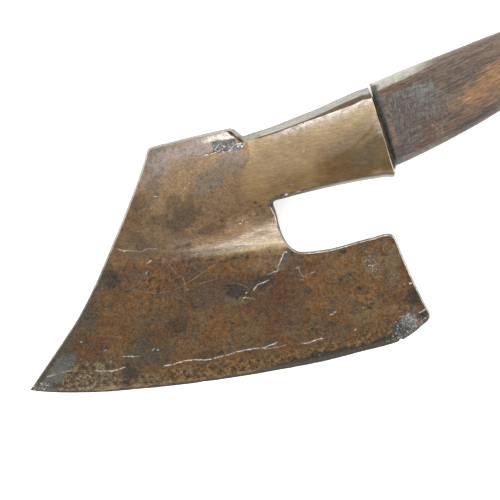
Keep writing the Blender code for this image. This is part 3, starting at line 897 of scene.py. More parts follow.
mouth_start, mouth_end = corner_index(MOUTH_LOW), corner_index(MOUTH_HIGH)
ring_numbers = np.arange(ring_count)
from_mouth = np.minimum(np.abs(ring_numbers - mouth_start), np.abs(ring_numbers - mouth_end))
free = ease(from_mouth / 8.0) * (ring_edge != edge_number["mouth"])
tangent = np.roll(outline, -1, axis=0) - np.roll(outline, 1, axis=0)
tangent /= np.linalg.norm(tangent, axis=1)[:, None]
inward = np.column_stack([-tangent[:, 1], tangent[:, 0]])
waver = 0.16 * hills(*outline.T, 16, 71) + 0.08 * hills(*outline.T, 4.3, 72)
waver += round_the_ring(TRIM)
for nick_x, nick_y, half, depth in NICKS:
    away = np.hypot(outline[:, 0] - nick_x, outline[:, 1] - nick_y)
    waver += depth * np.clip(1.25 - away / half, 0, 1)
shift = inward * (waver * free)[:, None]
steepen = inward * (round_the_ring(STEEPER) * top_height(*rim.T) * free)[:, None]
outline, wall_top, rim = outline + shift, wall_top + shift - steepen, rim + shift - steepen
print("the outline wavers by up to", round(float((waver * free).max()), 2), "mm")

# %% Stack the rings
BACK_RADIUS = 0.5
WALL_ROWS = 9
ARRIS_ROWS = 5

rim_height = top_height(*rim.T)
wall_height = np.maximum(rim_height - ring_arris, 0.3 * rim_height)
is_bevel = ease((ring_arris - BLADE_ARRIS - 0.1) / 0.5) * (ring_edge == edge_number["socket_top"])


def side_rings():
    """The rings from the back to just below the rim, and how far up the side each lies."""
    radius = BACK_RADIUS * np.minimum(1, wall_height / 3)
    rings = []
    for angle in (0, 30, 60, 90):
        c, s = math.cos(math.radians(angle)), math.sin(math.radians(angle))
        plan = outline + inward * (radius * (1 - s))[:, None]
        rings.append((np.column_stack([plan, radius * (1 - c)]), "back"))
    for row in range(1, WALL_ROWS + 1):
        t = row / WALL_ROWS
        z = radius + t * (wall_height - radius)
        plan = outline + (wall_top - outline) * (z / wall_height)[:, None]
        dips = 0.12 * hills(outline[:, 0] + outline[:, 1], z * 2.0, 7.0, 73) * math.sin(math.pi * t)
        rings.append((np.column_stack([plan + inward * (dips * free)[:, None], z]), "wall"))
    lean_on = (wall_top - outline) / np.maximum(wall_height, 0.5)[:, None]
    crest = wall_top + lean_on * (rim_height - wall_height)[:, None]
    for row in range(1, ARRIS_ROWS):
        s = row / ARRIS_ROWS
        round_plan = (1 - s) ** 2 * wall_top + 2 * s * (1 - s) * crest + s**2 * rim
        round_z = (1 - s) ** 2 * wall_height + (2 * s * (1 - s) + s**2) * rim_height
        flat_plan = wall_top + s * (rim - wall_top)
        flat_z = wall_height + s * (rim_height - wall_height)
        flat = 0.85 * is_bevel
        plan = round_plan + (flat_plan - round_plan) * flat[:, None]
        sunk = dent_wear(*plan.T)[0] * np.clip(rim_height / 4, 0.1, 1)
        rings.append((np.column_stack([plan, round_z + (flat_z - round_z) * flat + sunk]), "arris"))
    return rings


rings = side_rings()
print(len(rings), "rings up the side, and the rim")

# %% [markdown]
# ## The front face
#
# The face is a sheet of points on a triangle grid, a millimetre apart, lifted to the height worked
# out above. Close to a crack or a chip the grid is three times as fine. A Delaunay triangulation
# joins all the points and the rim into one net of well-shaped triangles, and it keeps only what lies
# inside the rim.

# %% Points of the face
FACE_STEP = 1.1
FINE_PARTS = 3


def far_from(ring, points, gap):
    """Which points are farther than gap from every point of a ring."""
    tree = KDTree(len(ring))
    for i, (x, y) in enumerate(ring):
        tree.insert((x, y, 0), i)
    tree.balance()
    return np.array([tree.find((x, y, 0))[2] > gap for x, y in points])


def triangle_grid(low, high, step):
    """The points of a triangle grid over a box, and their whole-number places in it."""
    rows = np.arange(int((high[1] - low[1]) / (step * math.sqrt(0.75))) + 1)
    columns = np.arange(-len(rows) // 2, int((high[0] - low[0]) / step) + 1)
    i, j = (a.ravel() for a in np.meshgrid(columns, rows))
    points = np.column_stack([low[0] + (i + j / 2) * step, low[1] + j * step * math.sqrt(0.75)])
    kept = (points[:, 0] >= low[0]) & (points[:, 0] <= high[0])
    return points[kept], i[kept], j[kept]


def needs_fine(points):
    """Where the face has something under a millimetre wide."""
    x, y = points.T
    fine = np.zeros(len(points), bool)
    for look, line in mark_lines:
        at = np.nonzero(close_to(x, y, line, 1.6))[0]
        fine[at] |= nearest_on_line(x[at], y[at], line)[0] < 3.2 * look[4]
    for cx, cy, length, width, turn, depth in DENTS:
        at = np.nonzero(close_to(x, y, [(cx, cy)], 2 * max(length, width)))[0]
        fine[at] |= oval(x[at], y[at], cx, cy, length + 0.6, width + 0.6, turn) < 1.2
    for cx, cy, radius, shine in FLECKS:
        fine |= np.hypot(x - cx, y - cy) < radius + 0.8
    fine |= break_amount(x, y) > 0.01
    return fine


plan_points, grid_i, grid_j = triangle_grid(rim.min(0), rim.max(0), FACE_STEP / FINE_PARTS)
wide = (grid_i % FINE_PARTS == 0) & (grid_j % FINE_PARTS == 0)
fine = ~wide
fine[fine] = needs_fine(plan_points[fine])
chosen = plan_points[wide | fine]
chosen = chosen[inside_ring(rim[::3], chosen)]
inner = chosen[far_from(rim, chosen, 0.42)]
print(len(inner), "points inside the face,", int(fine.sum()), "of them fine")


# %% Net them into triangles
SAME_POINT = 1e-6


def net(ring, inside_points):
    """Triangles over a ring and the points in it, as numbers into the ring followed by the points."""
    plan = np.vstack([ring, inside_points])
    made = delaunay_2d_cdt([tuple(p) for p in plan], [], [list(range(len(ring)))], 1, SAME_POINT)
    source = np.array([names[0] if names else -1 for names in made[3]])
    triangles = source[np.array(made[2])]
    return triangles[(triangles >= 0).all(1)]


face_triangles = net(rim, inner)
print(len(face_triangles), "triangles in the face")

# %% [markdown]
# ## The mouth and the hollow of the socket
#
# The mouth is a flat wall with a rounded, tapered hole for the handle's tenon. The hole's section is
# a superellipse, a curve between an ellipse and a rectangle, and it shrinks towards the hollow's
# inner end. The wall is netted with the same tool, in its own plane, and the triangles that would
# cover the hole are left out.

# %% The hollow's sections
HOLLOW_CENTRES = ((204.0, 124.6, 12.4), (270.4, 133.2, 15.7))
HOLLOW_HALF_DEPTHS = (17.0, 25.4)
HOLLOW_HALF_THICKNESSES = (6.6, 11.6)
HOLLOW_CORNERS = 7.0
HOLLOW_POINTS = 96
HOLLOW_ROWS = 14

mouth_way = unit(np.subtract(MOUTH_HIGH, MOUTH_LOW))


def between(pair, t):
    """The value at t from the first of a pair, 0, to the second, 1."""
    first, second = np.array(pair, float)
    return first + t * (second - first)


def rounded_box(half_depth, half_thickness, corners, lean=0.0, count=HOLLOW_POINTS):
    """A rounded box in the plane: across and up, with sides that lean in towards its top."""
    angle = (np.arange(count) + 0.5) * 2 * math.pi / count
    c, s = np.cos(angle), np.sin(angle)
    across = np.sign(c) * np.abs(c) ** (2 / corners)
    up = half_thickness * np.sign(s) * np.abs(s) ** (2 / corners)
    return across * (half_depth - lean * up), up


def hollow_section(t, shrink=0.0, count=HOLLOW_POINTS):
    """The hollow's section at t from its inner end, 0, to the mouth, 1, made smaller by shrink."""
    centre = between(HOLLOW_CENTRES, t)
    half_depth = between(HOLLOW_HALF_DEPTHS, t) - shrink
    half_thickness = between(HOLLOW_HALF_THICKNESSES, t) - shrink
    across, up = rounded_box(half_depth, half_thickness, HOLLOW_CORNERS, SOCKET_LEAN, count)
    xy = centre[:2] + across[:, None] * mouth_way
    return np.column_stack([xy, centre[2] + up])


hollow_rings = [hollow_section(t) for t in np.linspace(1, 0, HOLLOW_ROWS)]
print("the hollow is", round(np.linalg.norm(np.subtract(*HOLLOW_CENTRES))), "mm deep")


# %% Gather every part of the head's skin
class Skin:
    """Points and faces gathered part by part, with the part's name kept for each point."""

    def __init__(self):
        self.points, self.faces, self.parts, self.count = [], [], [], 0

    def add(self, points, part):
        """Adds points, and returns the number of the first."""
        first = self.count
        self.points.append(points)
        self.parts += [part] * len(points)
        self.count += len(points)
        return first

    def bridge(self, low, high, count, skip=()):
        """Quads between two rings, given where each starts."""
        for i in range(count):
            if i not in skip:
                j = (i + 1) % count
                self.faces.append((low + i, low + j, high + j, high + i))


head_skin = Skin()
starts = [head_skin.add(points, part) for points, part in rings]
rim_start = head_skin.add(np.column_stack([rim, rim_height]), "rim")
face_start = head_skin.add(np.column_stack([inner, top_height(*inner.T)]), "face")
mouth_spans = set(range(mouth_start, mouth_end))
last_wall = 3 + WALL_ROWS
for row, (low, high) in enumerate(zip(starts, starts[1:] + [rim_start])):
    skip = mouth_spans if 3 <= row < last_wall else ()
    head_skin.bridge(low, high, ring_count, skip)
for triangle in face_triangles:
    head_skin.faces.append(tuple(int(v) + (rim_start if v < ring_count else face_start - ring_count)
                                 for v in triangle))
print(head_skin.count, "points so far")

# %% Net the flat back
BACK_STEP = 3.0

back_ring = rings[0][0][:, :2]
back_points, _, _ = triangle_grid(back_ring.min(0), back_ring.max(0), BACK_STEP)
back_points = back_points[inside_ring(back_ring[::3], back_points)]
back_points = back_points[far_from(back_ring, back_points, 1.4)]
back_dips = 0.10 * np.clip(hills(*back_points.T, 30, 81) + 0.4 * hills(*back_points.T, 9, 82), 0, 1)
back_start = head_skin.add(np.column_stack([back_points, back_dips]), "back")
for triangle in net(back_ring, back_points):
    head_skin.faces.append(tuple(int(v) if v < ring_count else int(v) + back_start - ring_count
                                 for v in triangle[::-1]))
print(len(back_points), "points inside the back")

# %% Net the mouth round its hole, and line the hollow
MOUTH_STEP = 1.5

mouth_numbers = list(range(mouth_start, mouth_end + 1))
wall_starts = starts[3:last_wall + 1]
loop = [wall_starts[0] + i for i in mouth_numbers]
loop += [start + mouth_end for start in wall_starts[1:]]
loop += [wall_starts[-1] + i for i in mouth_numbers[-2::-1]]
loop += [start + mouth_start for start in wall_starts[-2:0:-1]]
all_points = np.vstack(head_skin.points)


def in_mouth_plane(points):
    """Places as (distance along the mouth, height)."""
    return np.column_stack([(points[:, :2] - MOUTH_LOW) @ mouth_way, points[:, 2]])


loop_plane = in_mouth_plane(all_points[loop])
hole_start = head_skin.add(hollow_rings[0], "hollow")
hole_plane = in_mouth_plane(hollow_rings[0])
grid, _, _ = triangle_grid(loop_plane.min(0), loop_plane.max(0), MOUTH_STEP)
grid = grid[inside_ring(loop_plane, grid) & ~inside_ring(hole_plane, grid)]
grid = grid[far_from(np.vstack([loop_plane, hole_plane]), grid, 0.6 * MOUTH_STEP)]
grid_places = np.column_stack([np.array(MOUTH_LOW) + grid[:, :1] * mouth_way, grid[:, 1]])
grid_start = head_skin.add(grid_places, "mouth")
plane = np.vstack([loop_plane, hole_plane, grid])
numbers = loop + list(range(hole_start, hole_start + HOLLOW_POINTS))
numbers += list(range(grid_start, grid_start + len(grid)))
outer = list(range(len(loop)))
hole = list(range(len(loop), len(loop) + HOLLOW_POINTS))
made = delaunay_2d_cdt([tuple(p) for p in plane], [], [outer, hole], 1, SAME_POINT)
middles = np.array([np.mean([made[0][v] for v in face], axis=0) for face in made[2]])
for face, in_hole in zip(made[2], inside_ring(hole_plane, middles)):
    if not in_hole:
        head_skin.faces.append(tuple(numbers[made[3][v][0]] for v in face))
last = hole_start
for ring in hollow_rings[1:]:
    start = head_skin.add(ring, "hollow")
    head_skin.bridge(last, start, HOLLOW_POINTS)
    last = start
end_middle = head_skin.add(hollow_rings[-1].mean(0)[None, :], "hollow")
for i in range(HOLLOW_POINTS):
    head_skin.faces.append((last + i, last + (i + 1) % HOLLOW_POINTS, end_middle))
print("mouth and hollow netted,", head_skin.count, "points in the head")


# %% Make the head's mesh
def make_piece(name, skin, sharp_angle):
    """A mesh object in the frame's metres from a gathered skin, with its faces turned outwards."""
    points = np.vstack(skin.points)
    placed = points.copy()
    placed[:, :2] += TO_FRAME
    mesh = bpy.data.meshes.new(name)
    mesh.from_pydata((placed * MM).tolist(), [], skin.faces)
    bm = bmesh.new()
    bm.from_mesh(mesh)
    bmesh.ops.recalc_face_normals(bm, faces=bm.faces)
    open_edges = sum(not edge.is_manifold for edge in bm.edges)
    bm.to_mesh(mesh)
    bm.free()
    mesh.shade_smooth()
    mesh.set_sharp_from_angle(angle=math.radians(sharp_angle))
    piece = bpy.data.objects.new(name, mesh)
    bpy.context.scene.collection.objects.link(piece)
    triangles = sum(len(p.vertices) - 2 for p in mesh.polygons)
    print(f"{name}: {len(points)} points, {triangles} triangles, {open_edges} open edges")
    return piece, points


head, head_points = make_piece("side_axe_head", head_skin, sharp_angle=50)

# %% [markdown]
# ## Where each tone of the iron lies
#
# Old iron has no one colour. Oil and rust brown it, hands rub the socket to gold, damp leaves
# grey and olive blooms, and steel shows bright where a corner wears. Each tone gets a mask: a
# number from 0 to 1 on every point of the mesh, made from ragged ovals and from the wear worked
# out above. Some masks paint light and shade as well: a sheen on the body and the socket, highlights
# on the shoulder, the rims, the arrises and the crack lips, a pale reflection on the side walls, and
# shade on the inner walls, in the grooves and in the dents. The finish then reads the masks by name.

# %% Ragged ovals
RIM_SOFTNESS = 0.55

# Each stain is (x, y, half length, half width, turn in degrees, strength).
STAINS = {
    "tan_patina": [
        (112, 13, 12, 6, 0, 0.5), (150, 20, 14, 10, 0, 0.4), (226, 45, 20, 12, 0, 0.8),
        (234, 30, 8, 6, 0, 0.5), (246, 14, 15, 8, 0, 1.0), (222, 56, 34, 3.4, 0, 0.9),
        (160, 61, 22, 5, 0, 0.7), (208, 43, 7, 6, 0, 0.5), (256, 28, 10, 14, 0, 0.7),
        (60, 57, 6, 7, 45, 0.5), (58, 16, 9, 4, 0, 0.5), (96, 50, 20, 8, 5, 0.5), (130, 27, 10, 9, 0, 0.4),
        (207, 27, 14, 9, 0, 0.7), (190, 9, 8, 4, 0, 0.6), (85, 52, 8, 8, 0, 0.4), (232, 30, 32, 25, 0, 0.6),
        (159, 97.5, 8, 4, 0, 0.6), (143, 29, 8, 8, 0, 0.4), (60, 45, 5, 6, 45, 0.5),
        (200, 10, 26, 5, 0, 0.5), (142, 69, 8, 3.4, 0, 0.6), (142, 9, 9, 4, 0, 0.5),
        (34, 31, 4, 3, 45, 0.4),
    ],
    "red_patina": [
        (48, 22, 10, 7, -10, 0.9), (181, 38, 8, 13, 0, 1.0), (176, 16, 9, 10, 0, 0.6),
        (92, 22, 9, 7, 0, 0.5), (112, 56, 10, 5, 0, 0.4), (142, 50, 9, 5, 0, 0.5), (258, 18, 10, 6, 0, 0.5),
        (210, 6, 9, 4, 0, 0.3), (206, 50, 14, 6, 0, 0.7), (224, 38, 9, 6, 0, 0.5),
    ],
    "rust_red": [
        (196, 48, 8, 6, 0, 0.5), (104, 71, 22, 5, 0, 0.45), (192, 56, 5, 4, 0, 0.5),
        (262, 60, 6, 2, 0, 0.4),
    ],
    "deep_brown": [
        (107, 27, 8, 5, 20, 0.8), (118, 42, 6, 5, 0, 0.4), (166, 30, 7, 7, 0, 0.4),
        (97, 116, 5, 5, 35, 0.4), (132, 55, 8, 2.4, 4, 0.4), (271, 17, 5, 7, -15, 0.8),
        (192, 30, 6, 6, 0, 0.3), (238, 28, 5, 3, 0, 0.5), (122, 80, 8, 2.4, 0, 0.35),
        (94, 104, 5, 3, 40, 0.3), (214, 10, 8, 3, 0, 0.3), (82, 22, 7, 4, 0, 0.3), (124, 2, 9, 3, 0, 0.6),
    ],
    "dark_patina": [
        (124, 101, 12, 8, 15, 0.62), (107, 101, 7, 4, 0, 0.4), (118, 111, 7, 5, 20, 0.45),
        (145, 88, 8, 4, 0, 0.35), (154, 43.4, 10, 6.2, -6, 1.0), (170.5, 46, 8, 5.4, 10, 1.0),
        (201, 35, 2.6, 2.2, 0, 0.6), (225, 40, 2.5, 1.6, 0, 0.5), (214, 18.2, 2.8, 1.6, 0, 0.8),
        (168.6, 3.7, 4.6, 1.8, 12, 0.9), (229, 57.5, 4, 1.4, 0, 0.5), (195, 14, 3, 2, 0, 0.3),
        (69.5, -1.5, 6.5, 8, -8, 1.0), (60, -8, 6, 3, 0, 0.4), (67, 66, 6, 6, 0, 0.75),
        (6, 2, 8, 4, 30, 0.7), (197, 123, 3, 2, 0, 0.3), (250, -6, 8, 2, 10, 0.4),
        (153, 121, 3.4, 3, 0, 0.6), (128, 108, 9, 3, 50, 0.4), (37, 28, 3, 8, -40, 0.15),
        (166, 52, 4, 3, 0, 0.3), (139.5, 89, 6, 2.6, 10, 0.5), (272.6, 18.2, 4.4, 5.4, -20, 0.9),
    ],
    "olive_patina": [
        (81, 11, 14, 8, -4, 1.0), (87, 9, 10, 8, 0, 0.8), (47, 41, 7, 5, 50, 0.7), (205, 10, 9, 5, 0, 0.4),
        (232, 17, 6, 5, 0, 0.4), (56, 50, 5, 4, 50, 0.3), (180, 92, 8, 6, 0, 0.4), (206, 134, 6, 3, 0, 0.4),
        (118, 76, 12, 2.4, 0, 0.2), (88, 88, 8, 5, 30, 0.3), (222, 4, 8, 3, 0, 0.3),
    ],
    "violet_patina": [
        (80, 62, 14, 8, 0, 0.45), (122, 50, 30, 4, 0, 0.35), (131, 42, 9, 6, 4, 0.7),
        (143, 39, 8, 3, 0, 0.7), (92, 66, 10, 3, 0, 0.5), (122, 61, 9, 3, 10, 0.5),
        (188, 59, 3, 5, -30, 0.4), (112, 33, 5, 4, 0, 0.4), (108, 122, 7, 7, 30, 0.25),
        (96, 82, 6, 4, 0, 0.4),
    ],
    "grey_tan": [
        (45, -3, 18, 8, -8, 1.0), (30, 5, 8, 4, 0, 0.6), (107, -5.5, 5, 2.6, 0, 0.8),
        (249, 45, 6, 9, 0, 0.8), (263, 45, 4.6, 15, -14, 0.9), (83, 88, 5, 6, 40, 0.5),
        (94, 78, 8, 4, 0, 0.4), (140, 82, 10, 2.4, 0, 0.4), (262, 11, 10, 5, 0, 0.5),
        (96, 95, 4, 6, 30, 0.3), (232, 10, 8, 4, 0, 0.4), (243, 12, 5, 4, 0, 0.4), (150, 36, 7, 4, 0, 0.6),
    ],
    "blue_patina": [
        (55, 18.5, 1.6, 1.2, 0, 0.8), (205.5, 141.0, 3, 2, 0, 0.6), (92, 66.5, 1.8, 1.4, 0, 0.8),
        (88, 61, 1.6, 1.2, 0, 0.4), (84, 47, 2, 1.4, 0, 0.3), (188.6, 59.2, 7.2, 1.6, 53, 1.0),
        (268, 8, 6, 2, 20, 0.5), (150.5, 120.0, 5, 3.6, 20, 0.8),
    ],
    "ash_patina": [
        (164, 134, 11, 7, 12, 0.9), (146, 122, 13, 6, 30, 0.7), (103, 141, 5, 10, 30, 0.7),
        (172, 126, 5, 5, 0, 0.5), (110, 128, 5, 5, 30, 0.4), (178, 86, 10, 4, 0, 0.4),
    ],
    "gold_patina": [
        (141, 131, 22, 5, 15, 0.75), (124, 117, 12, 5, 30, 0.3), (156, 67.6, 26, 2.6, -1, 0.3),
        (182, 67, 10, 5, -8, 0.9), (112, 110, 8, 5, 30, 0.3), (170, 90, 14, 5, 0, 0.7),
        (178, 58, 11, 6, 0, 0.5), (160, 108, 14, 6, 0, 0.2), (106, 139, 6, 4, 40, 0.3),
    ],
    "plum_patina": [
        (132, 146, 30, 5.5, 2, 1.0), (112, 140, 9, 9, 40, 0.8), (120, 137, 12, 4, 20, 0.4),
        (118, 84, 10, 3, 0, 0.2), (101, 134, 4, 9, 32, 0.5),
    ],
    "speckles": [
        (106, 62, 36, 13, 8, 1.0), (135, 66, 20, 8, 5, 0.9), (100, 44, 34, 9, 0, 0.6),
        (75, 34, 30, 10, 35, 0.5), (215, 40, 40, 14, 0, 0.6), (247, 18, 22, 10, 10, 0.9),
        (190, 16, 40, 10, 0, 0.5), (110, 105, 22, 14, 0, 0.5), (130, 80, 24, 6, 0, 0.5),
        (45, 4, 24, 9, 0, 0.6), (250, 50, 14, 8, 0, 0.6), (160, 62, 20, 6, 0, 0.8),
        (172, 92, 14, 8, 0, 0.4),
    ],
    "specks": [
        (262, -3.5, 13, 6, 20, 0.8), (7, 1, 8, 3, 0, 0.6), (247, 44, 3.6, 7, 0, 0.8),
        (240, 152, 32, 3.6, 15, 0.5), (259, 57, 4, 4, 0, 0.3), (45, -4, 14, 4, 0, 0.2),
        (107, -5.5, 4, 2, 0, 0.3), (267, 141, 3, 8, 0, 0.5),
    ],
    "red_spot": [(271.4, 0.1, 1.1, 1.0, 0, 1.0)],
    "light_rust": [
        (236, 24, 10, 9, 0, 0.8), (224, 46, 14, 9, 0, 0.6), (90, 63, 9, 8, 0, 0.4), (206, 42, 8, 7, 0, 0.3),
    ],
}


def stain_mask(x, y, stains, seed, softness=RIM_SOFTNESS):
    """The masks of some ragged ovals, joined into one."""
    mask = np.zeros(x.shape)
    for k, (cx, cy, length, width, turn, strength) in enumerate(stains):
        r = oval(x, y, cx, cy, length, width, turn)
        rag = 0.5 * ragged(x, y, 7.0, seed + 7 * k) + 0.24 * hills(x, y, 1.8, seed + 7 * k + 5)
        mask = np.maximum(mask, strength * ease((1.02 - r + rag) / softness + 0.5))
    return mask


parts = np.array(head_skin.parts)
x, y, z = head_points.T
SOFT = {"tan_patina": 1.0, "red_patina": 0.9, "gold_patina": 1.0, "plum_patina": 0.9, "speckles": 1.2,
        "specks": 1.0, "ash_patina": 0.8}


def keep_off(names, region):
    """Takes some masks away where a region lies."""
    for name in names.split():
        masks[name] = masks[name] * (1 - region)


def raise_to(name, values):
    """Raises a mask to at least these values."""
    masks[name] = np.maximum(masks[name], values)


masks = {name: stain_mask(x, y, stains, 100 + 100 * k, SOFT.get(name, RIM_SOFTNESS))
         for k, (name, stains) in enumerate(STAINS.items())}
print("stains:", {name: len(stains) for name, stains in STAINS.items()})

# %% The rubbed body and the golden socket, with their painted sheen
_, mark_bright, mark_warm, mark_groove_shade = mark_wear(x, y)
on_face = np.isin(parts, ("face", "rim"))
on_side = np.isin(parts, ("wall", "arris"))
rise = rise_from_edge(x, y)
broken = break_amount(x, y)

# The body's face is rubbed lighter towards the poll, and partly painted lighter as a sheen. The socket is
# golden from a soft diagonal below the step, with a painted sheen that is lightest along its upper
# edge, and dark olive in its lower corner, where it was filed in flat facets.
gold_start = np.interp(y, (100, 124, 132, 143), (163, 167, 176, 176.5)) + hills(x, y, 9, 91)
gold_fade = np.interp(y, (100, 116, 130), (26, 16, 3))
socket = ease((x - gold_start + (gold_fade - 3) / 2) / gold_fade) * rising(y, 97, 8) * (x > 140)
# The body's face is painted lighter towards the poll: partly rubbed patina, partly a painted sheen.
body_rub_and_sheen = 0.32 * ease((y - 70 - 0.06 * (x - 90)) / 9) + 0.68 * rising(y, 100, 36)
masks["worn_body_and_sheen"] = body_rub_and_sheen * (1 - socket) * on_face
facet_line = np.interp(x, (214, 232, 239, 247, 254.5, 263.5), (122, 124.4, 126.0, 129.5, 134.8, 141.0))
below_line = facet_line + 0.3 * hills(x, y, 9, 76) - y
stripe_floor = np.interp(x, (248, 267.4), (124.0, 134.5))
stripe = rising(below_line, 2.0, 1.4) * ease(y - stripe_floor) * rising(x, 246, 7)
dark_stripe = ease(below_line + 0.4) * falling(below_line, 3.2, 1.4) * rising(x, 242, 4) * falling(x, 266, 3)
by_corner = rising(x, 262.5, 3) * rising(y, 133, 3)
facet_edge = np.interp(x, (236, 250), (3.0, 1.4))
below_facet = ease((below_line + 0.4) / facet_edge) * rising(x, 206, 46) * (1 - 0.85 * stripe)
below_facet *= 1 - by_corner
below_facet *= 1 - 0.55 * dark_stripe
# The socket's face is painted lighter towards its upper edge, by the step and at the mouth's upper corner: a
# painted sheen, where the real face mirrors the bright tent.
lit_from = 109 + 8 * rising(x, 215, 34)
socket_sheen = 0.94 * np.clip((y - lit_from) / 33, 0, 1) ** 1.6 * (1 - 0.60 * below_facet)
low_gold = rising(x, 250, 14) * ease((112.5 - y + 2.0 * hills(x, y, 7, 90)) / 5)
facet_grey = falling(below_line, 0.5, 1.4) * rising(x, 224, 10) * ease((below_line + 13) / 7)
by_step = 1 - rising(x, 212, 20)
step_light = np.interp(y, (111, 118, 125, 130, 137), (0.18, 0.21, 0.34, 0.33, 0.30))
socket_sheen += (
    (step_light - 0.62 * socket_sheen) * by_step
    + 0.06 * hills(x, y, 11, 97)
    + 0.04 * hills(x * 0.3, y, 2.2, 98)
)
socket_sheen = np.maximum(socket_sheen, 0.40 * low_gold) - 0.02 * dark_stripe
socket_sheen += 0.03 * stripe
socket_sheen += 0.06 * facet_grey
socket_sheen = np.clip(socket_sheen + 0.16 * ease(1.5 - oval(x, y, 264, 142, 8, 7, 30)), 0, 1)
raise_to("speckles", 0.55 - 0.25 * rising(y, 66, 12))
keep_off("dark_patina red_patina speckles tan_patina deep_brown olive_patina gold_patina ash_patina", socket)
masks["brushing"] = 0.10 + 0.18 * rising(y, 70, 12) + 0.35 * socket
masks["vivid"] = (1 - 0.6 * rising(y, 66, 16)) * (1 - 0.45 * socket)
masks["calm"] = 0.4 * socket
masks["socket_dark"] = socket * on_face
# The light gold carries the painted sheen as well as the gold patina.
masks["socket_gold_and_sheen"] = socket * socket_sheen * on_face
mouth_brown = ease(1.4 - oval(x, y, 269, 118, 3.4, 12, 6))
olive_facet = 0.9 * below_facet * (1 - low_gold) * rising(x, 237, 13)
masks["olive_gold"] = socket * np.maximum(olive_facet, 0.35 * stripe)
masks["olive_gold"] *= (1 - 0.9 * mouth_brown) * ease((y - 107 + 3 * hills(x, y, 9, 69)) / 14)
raise_to("ash_patina", (0.34 * facet_grey + 0.25 * stripe) * socket * on_face)
print("socket:", int((socket > 0.5).sum()), "points of gold and olive")

# %% The band along the edge, and the slate toe
# A freckled tan band lies between the weld seam and the cutting edge, greyer towards the toe.
islands = ease(0.5 + 1.1 * hills(x, y, 5.2, 78))
band = ease((14.0 - rise + 2 * hills(x, y, 8, 92)) / 4) * rising(rise, 0.6, 2.2) * (0.50 + 0.50 * islands)
band *= falling(x, 262, 20) * (1 - masks["dark_patina"])
towards_toe = ease((96 - x + 4 * hills(x, y, 6, 95)) / 8)
masks["tan_freckles"] = band * (1 - towards_toe)
masks["grey_freckles"] = band * towards_toe * rising(x, 22, 10)

# The honed edge is dark along the middle, and a dark border follows the swept edge.
edge_width = np.interp(x, (60, 120, 150, 180, 205, 235, 260), (2.4, 2.6, 3.6, 5.6, 8.4, 5.6, 9))
masks["slate_edge"] = ease((edge_width - rise + hills(x, y, 6, 93)) / 1.8) * falling(x, 285, 10)
swept_line = curve_through(SWEPT_EDGE, OUTLINE_STEP)
swept = nearest_on_line(x, y, swept_line)[0]
border = ease((7.5 - swept + 3 * hills(x, y, 9, 94)) / 6) * falling(y, 95, 25)
masks["grey_border"] = np.maximum(0.85 * border, on_side * falling(y, 95, 25) * (x < 120))
keep_off("speckles", 0.8 * border)

# The toe is slate grey up to a ragged line, and speckled tan beyond it.
toe_line = np.interp(y, (-6, -2, 5, 10.7, 15.4, 26), (15, 18, 24, 28.7, 33.5, 36))
toe_line += 2.2 * ragged(x, y, 4.5, 77)
toe_grey = ease((toe_line - x) / 1.6 + 0.5) * ease((28 - y + 2 * hills(x, y, 5, 76)) / 7)
low_toe = ease((2.5 - y + 1.5 * hills(x, y, 3, 75)) / 4)
toe_fade = ease((y - 14 + 2 * hills(x, y, 4, 72)) / 9)
raise_to("olive_patina", toe_grey * toe_fade)
blue_toe = toe_grey * (1 - low_toe) * rising(swept, 2.2, 2) * (1 - toe_fade)
raise_to("blue_patina", blue_toe)
masks["slate_toe"] = toe_grey * np.maximum(low_toe, 1 - rising(swept, 2.0, 2.8))
speckled_toe = (1 - toe_grey) * ease((15 - y + 2.5 * hills(x, y, 5, 74)) / 5)
speckled_toe *= ease((64 - x + 3 * hills(x, y, 6, 73)) / 8)
masks["grey_freckles"] = np.maximum(masks["grey_freckles"] * (1 - toe_grey), speckled_toe * (x < 70))
keep_off("grey_tan red_patina grey_border speckles", toe_grey)
print("freckles on", int((masks["tan_freckles"] > 0.5).sum()), "points")

# %% The heel's bloom, and the rubbed shoulder and rims with their painted highlights
# Damp has bloomed charcoal over the heel corner, with a pale cloud in it.
masks["charcoal"] = ease((1.1 - oval(x, y, 264, -4, 13, 9, 22) + 0.35 * ragged(x, y, 5, 87)) / 0.35)
cloud = ease(1.3 - oval(x, y, 266, 1.0, 6.4, 4.8, 25) + 0.5 * ragged(x, y, 3.0, 86))
masks["pale_bloom"] = 0.9 * cloud * on_face

# The slope of the shoulder carries a painted highlight, in streaks along the head, where it mirrors the
# bright tent.
streaks = hills(x * 0.22, y, 1.7, 85) + 0.5 * hills(x * 0.3, y, 0.9, 84)
floor_of_band = 69.6 + 0.5 * hills(x, y, 5, 89) - 1.2 * rising(x, 176, 14)
top_of_band = np.interp(x, (110, 135, 160, 188), (79, 81, 84, 93))
band_highlight = ease((y - floor_of_band) / np.interp(x, (120, 160), (3.0, 1.4)))
band_highlight *= ease((top_of_band - y + 1.5 * streaks) / np.interp(x, (110, 160, 188), (4, 8, 13)))
band_highlight *= 1 - 0.45 * ease(1.4 - oval(x, y, 177, 80.5, 10, 2.4, 8))
highlight_along = np.interp(x, (100, 120, 133, 150, 165, 190), (0.0, 0.18, 0.38, 0.74, 0.95, 1.0))
band_highlight *= highlight_along * (0.9 + 0.12 * streaks)
gold_line = np.exp(-(((y - floor_of_band - 0.6) / 1.7) ** 2)) * rising(x, 136, 30)
masks["gold_line"] = np.clip(gold_line * (0.8 + 0.3 * streaks), 0, 1) * on_face * falling(x, 195, 4)

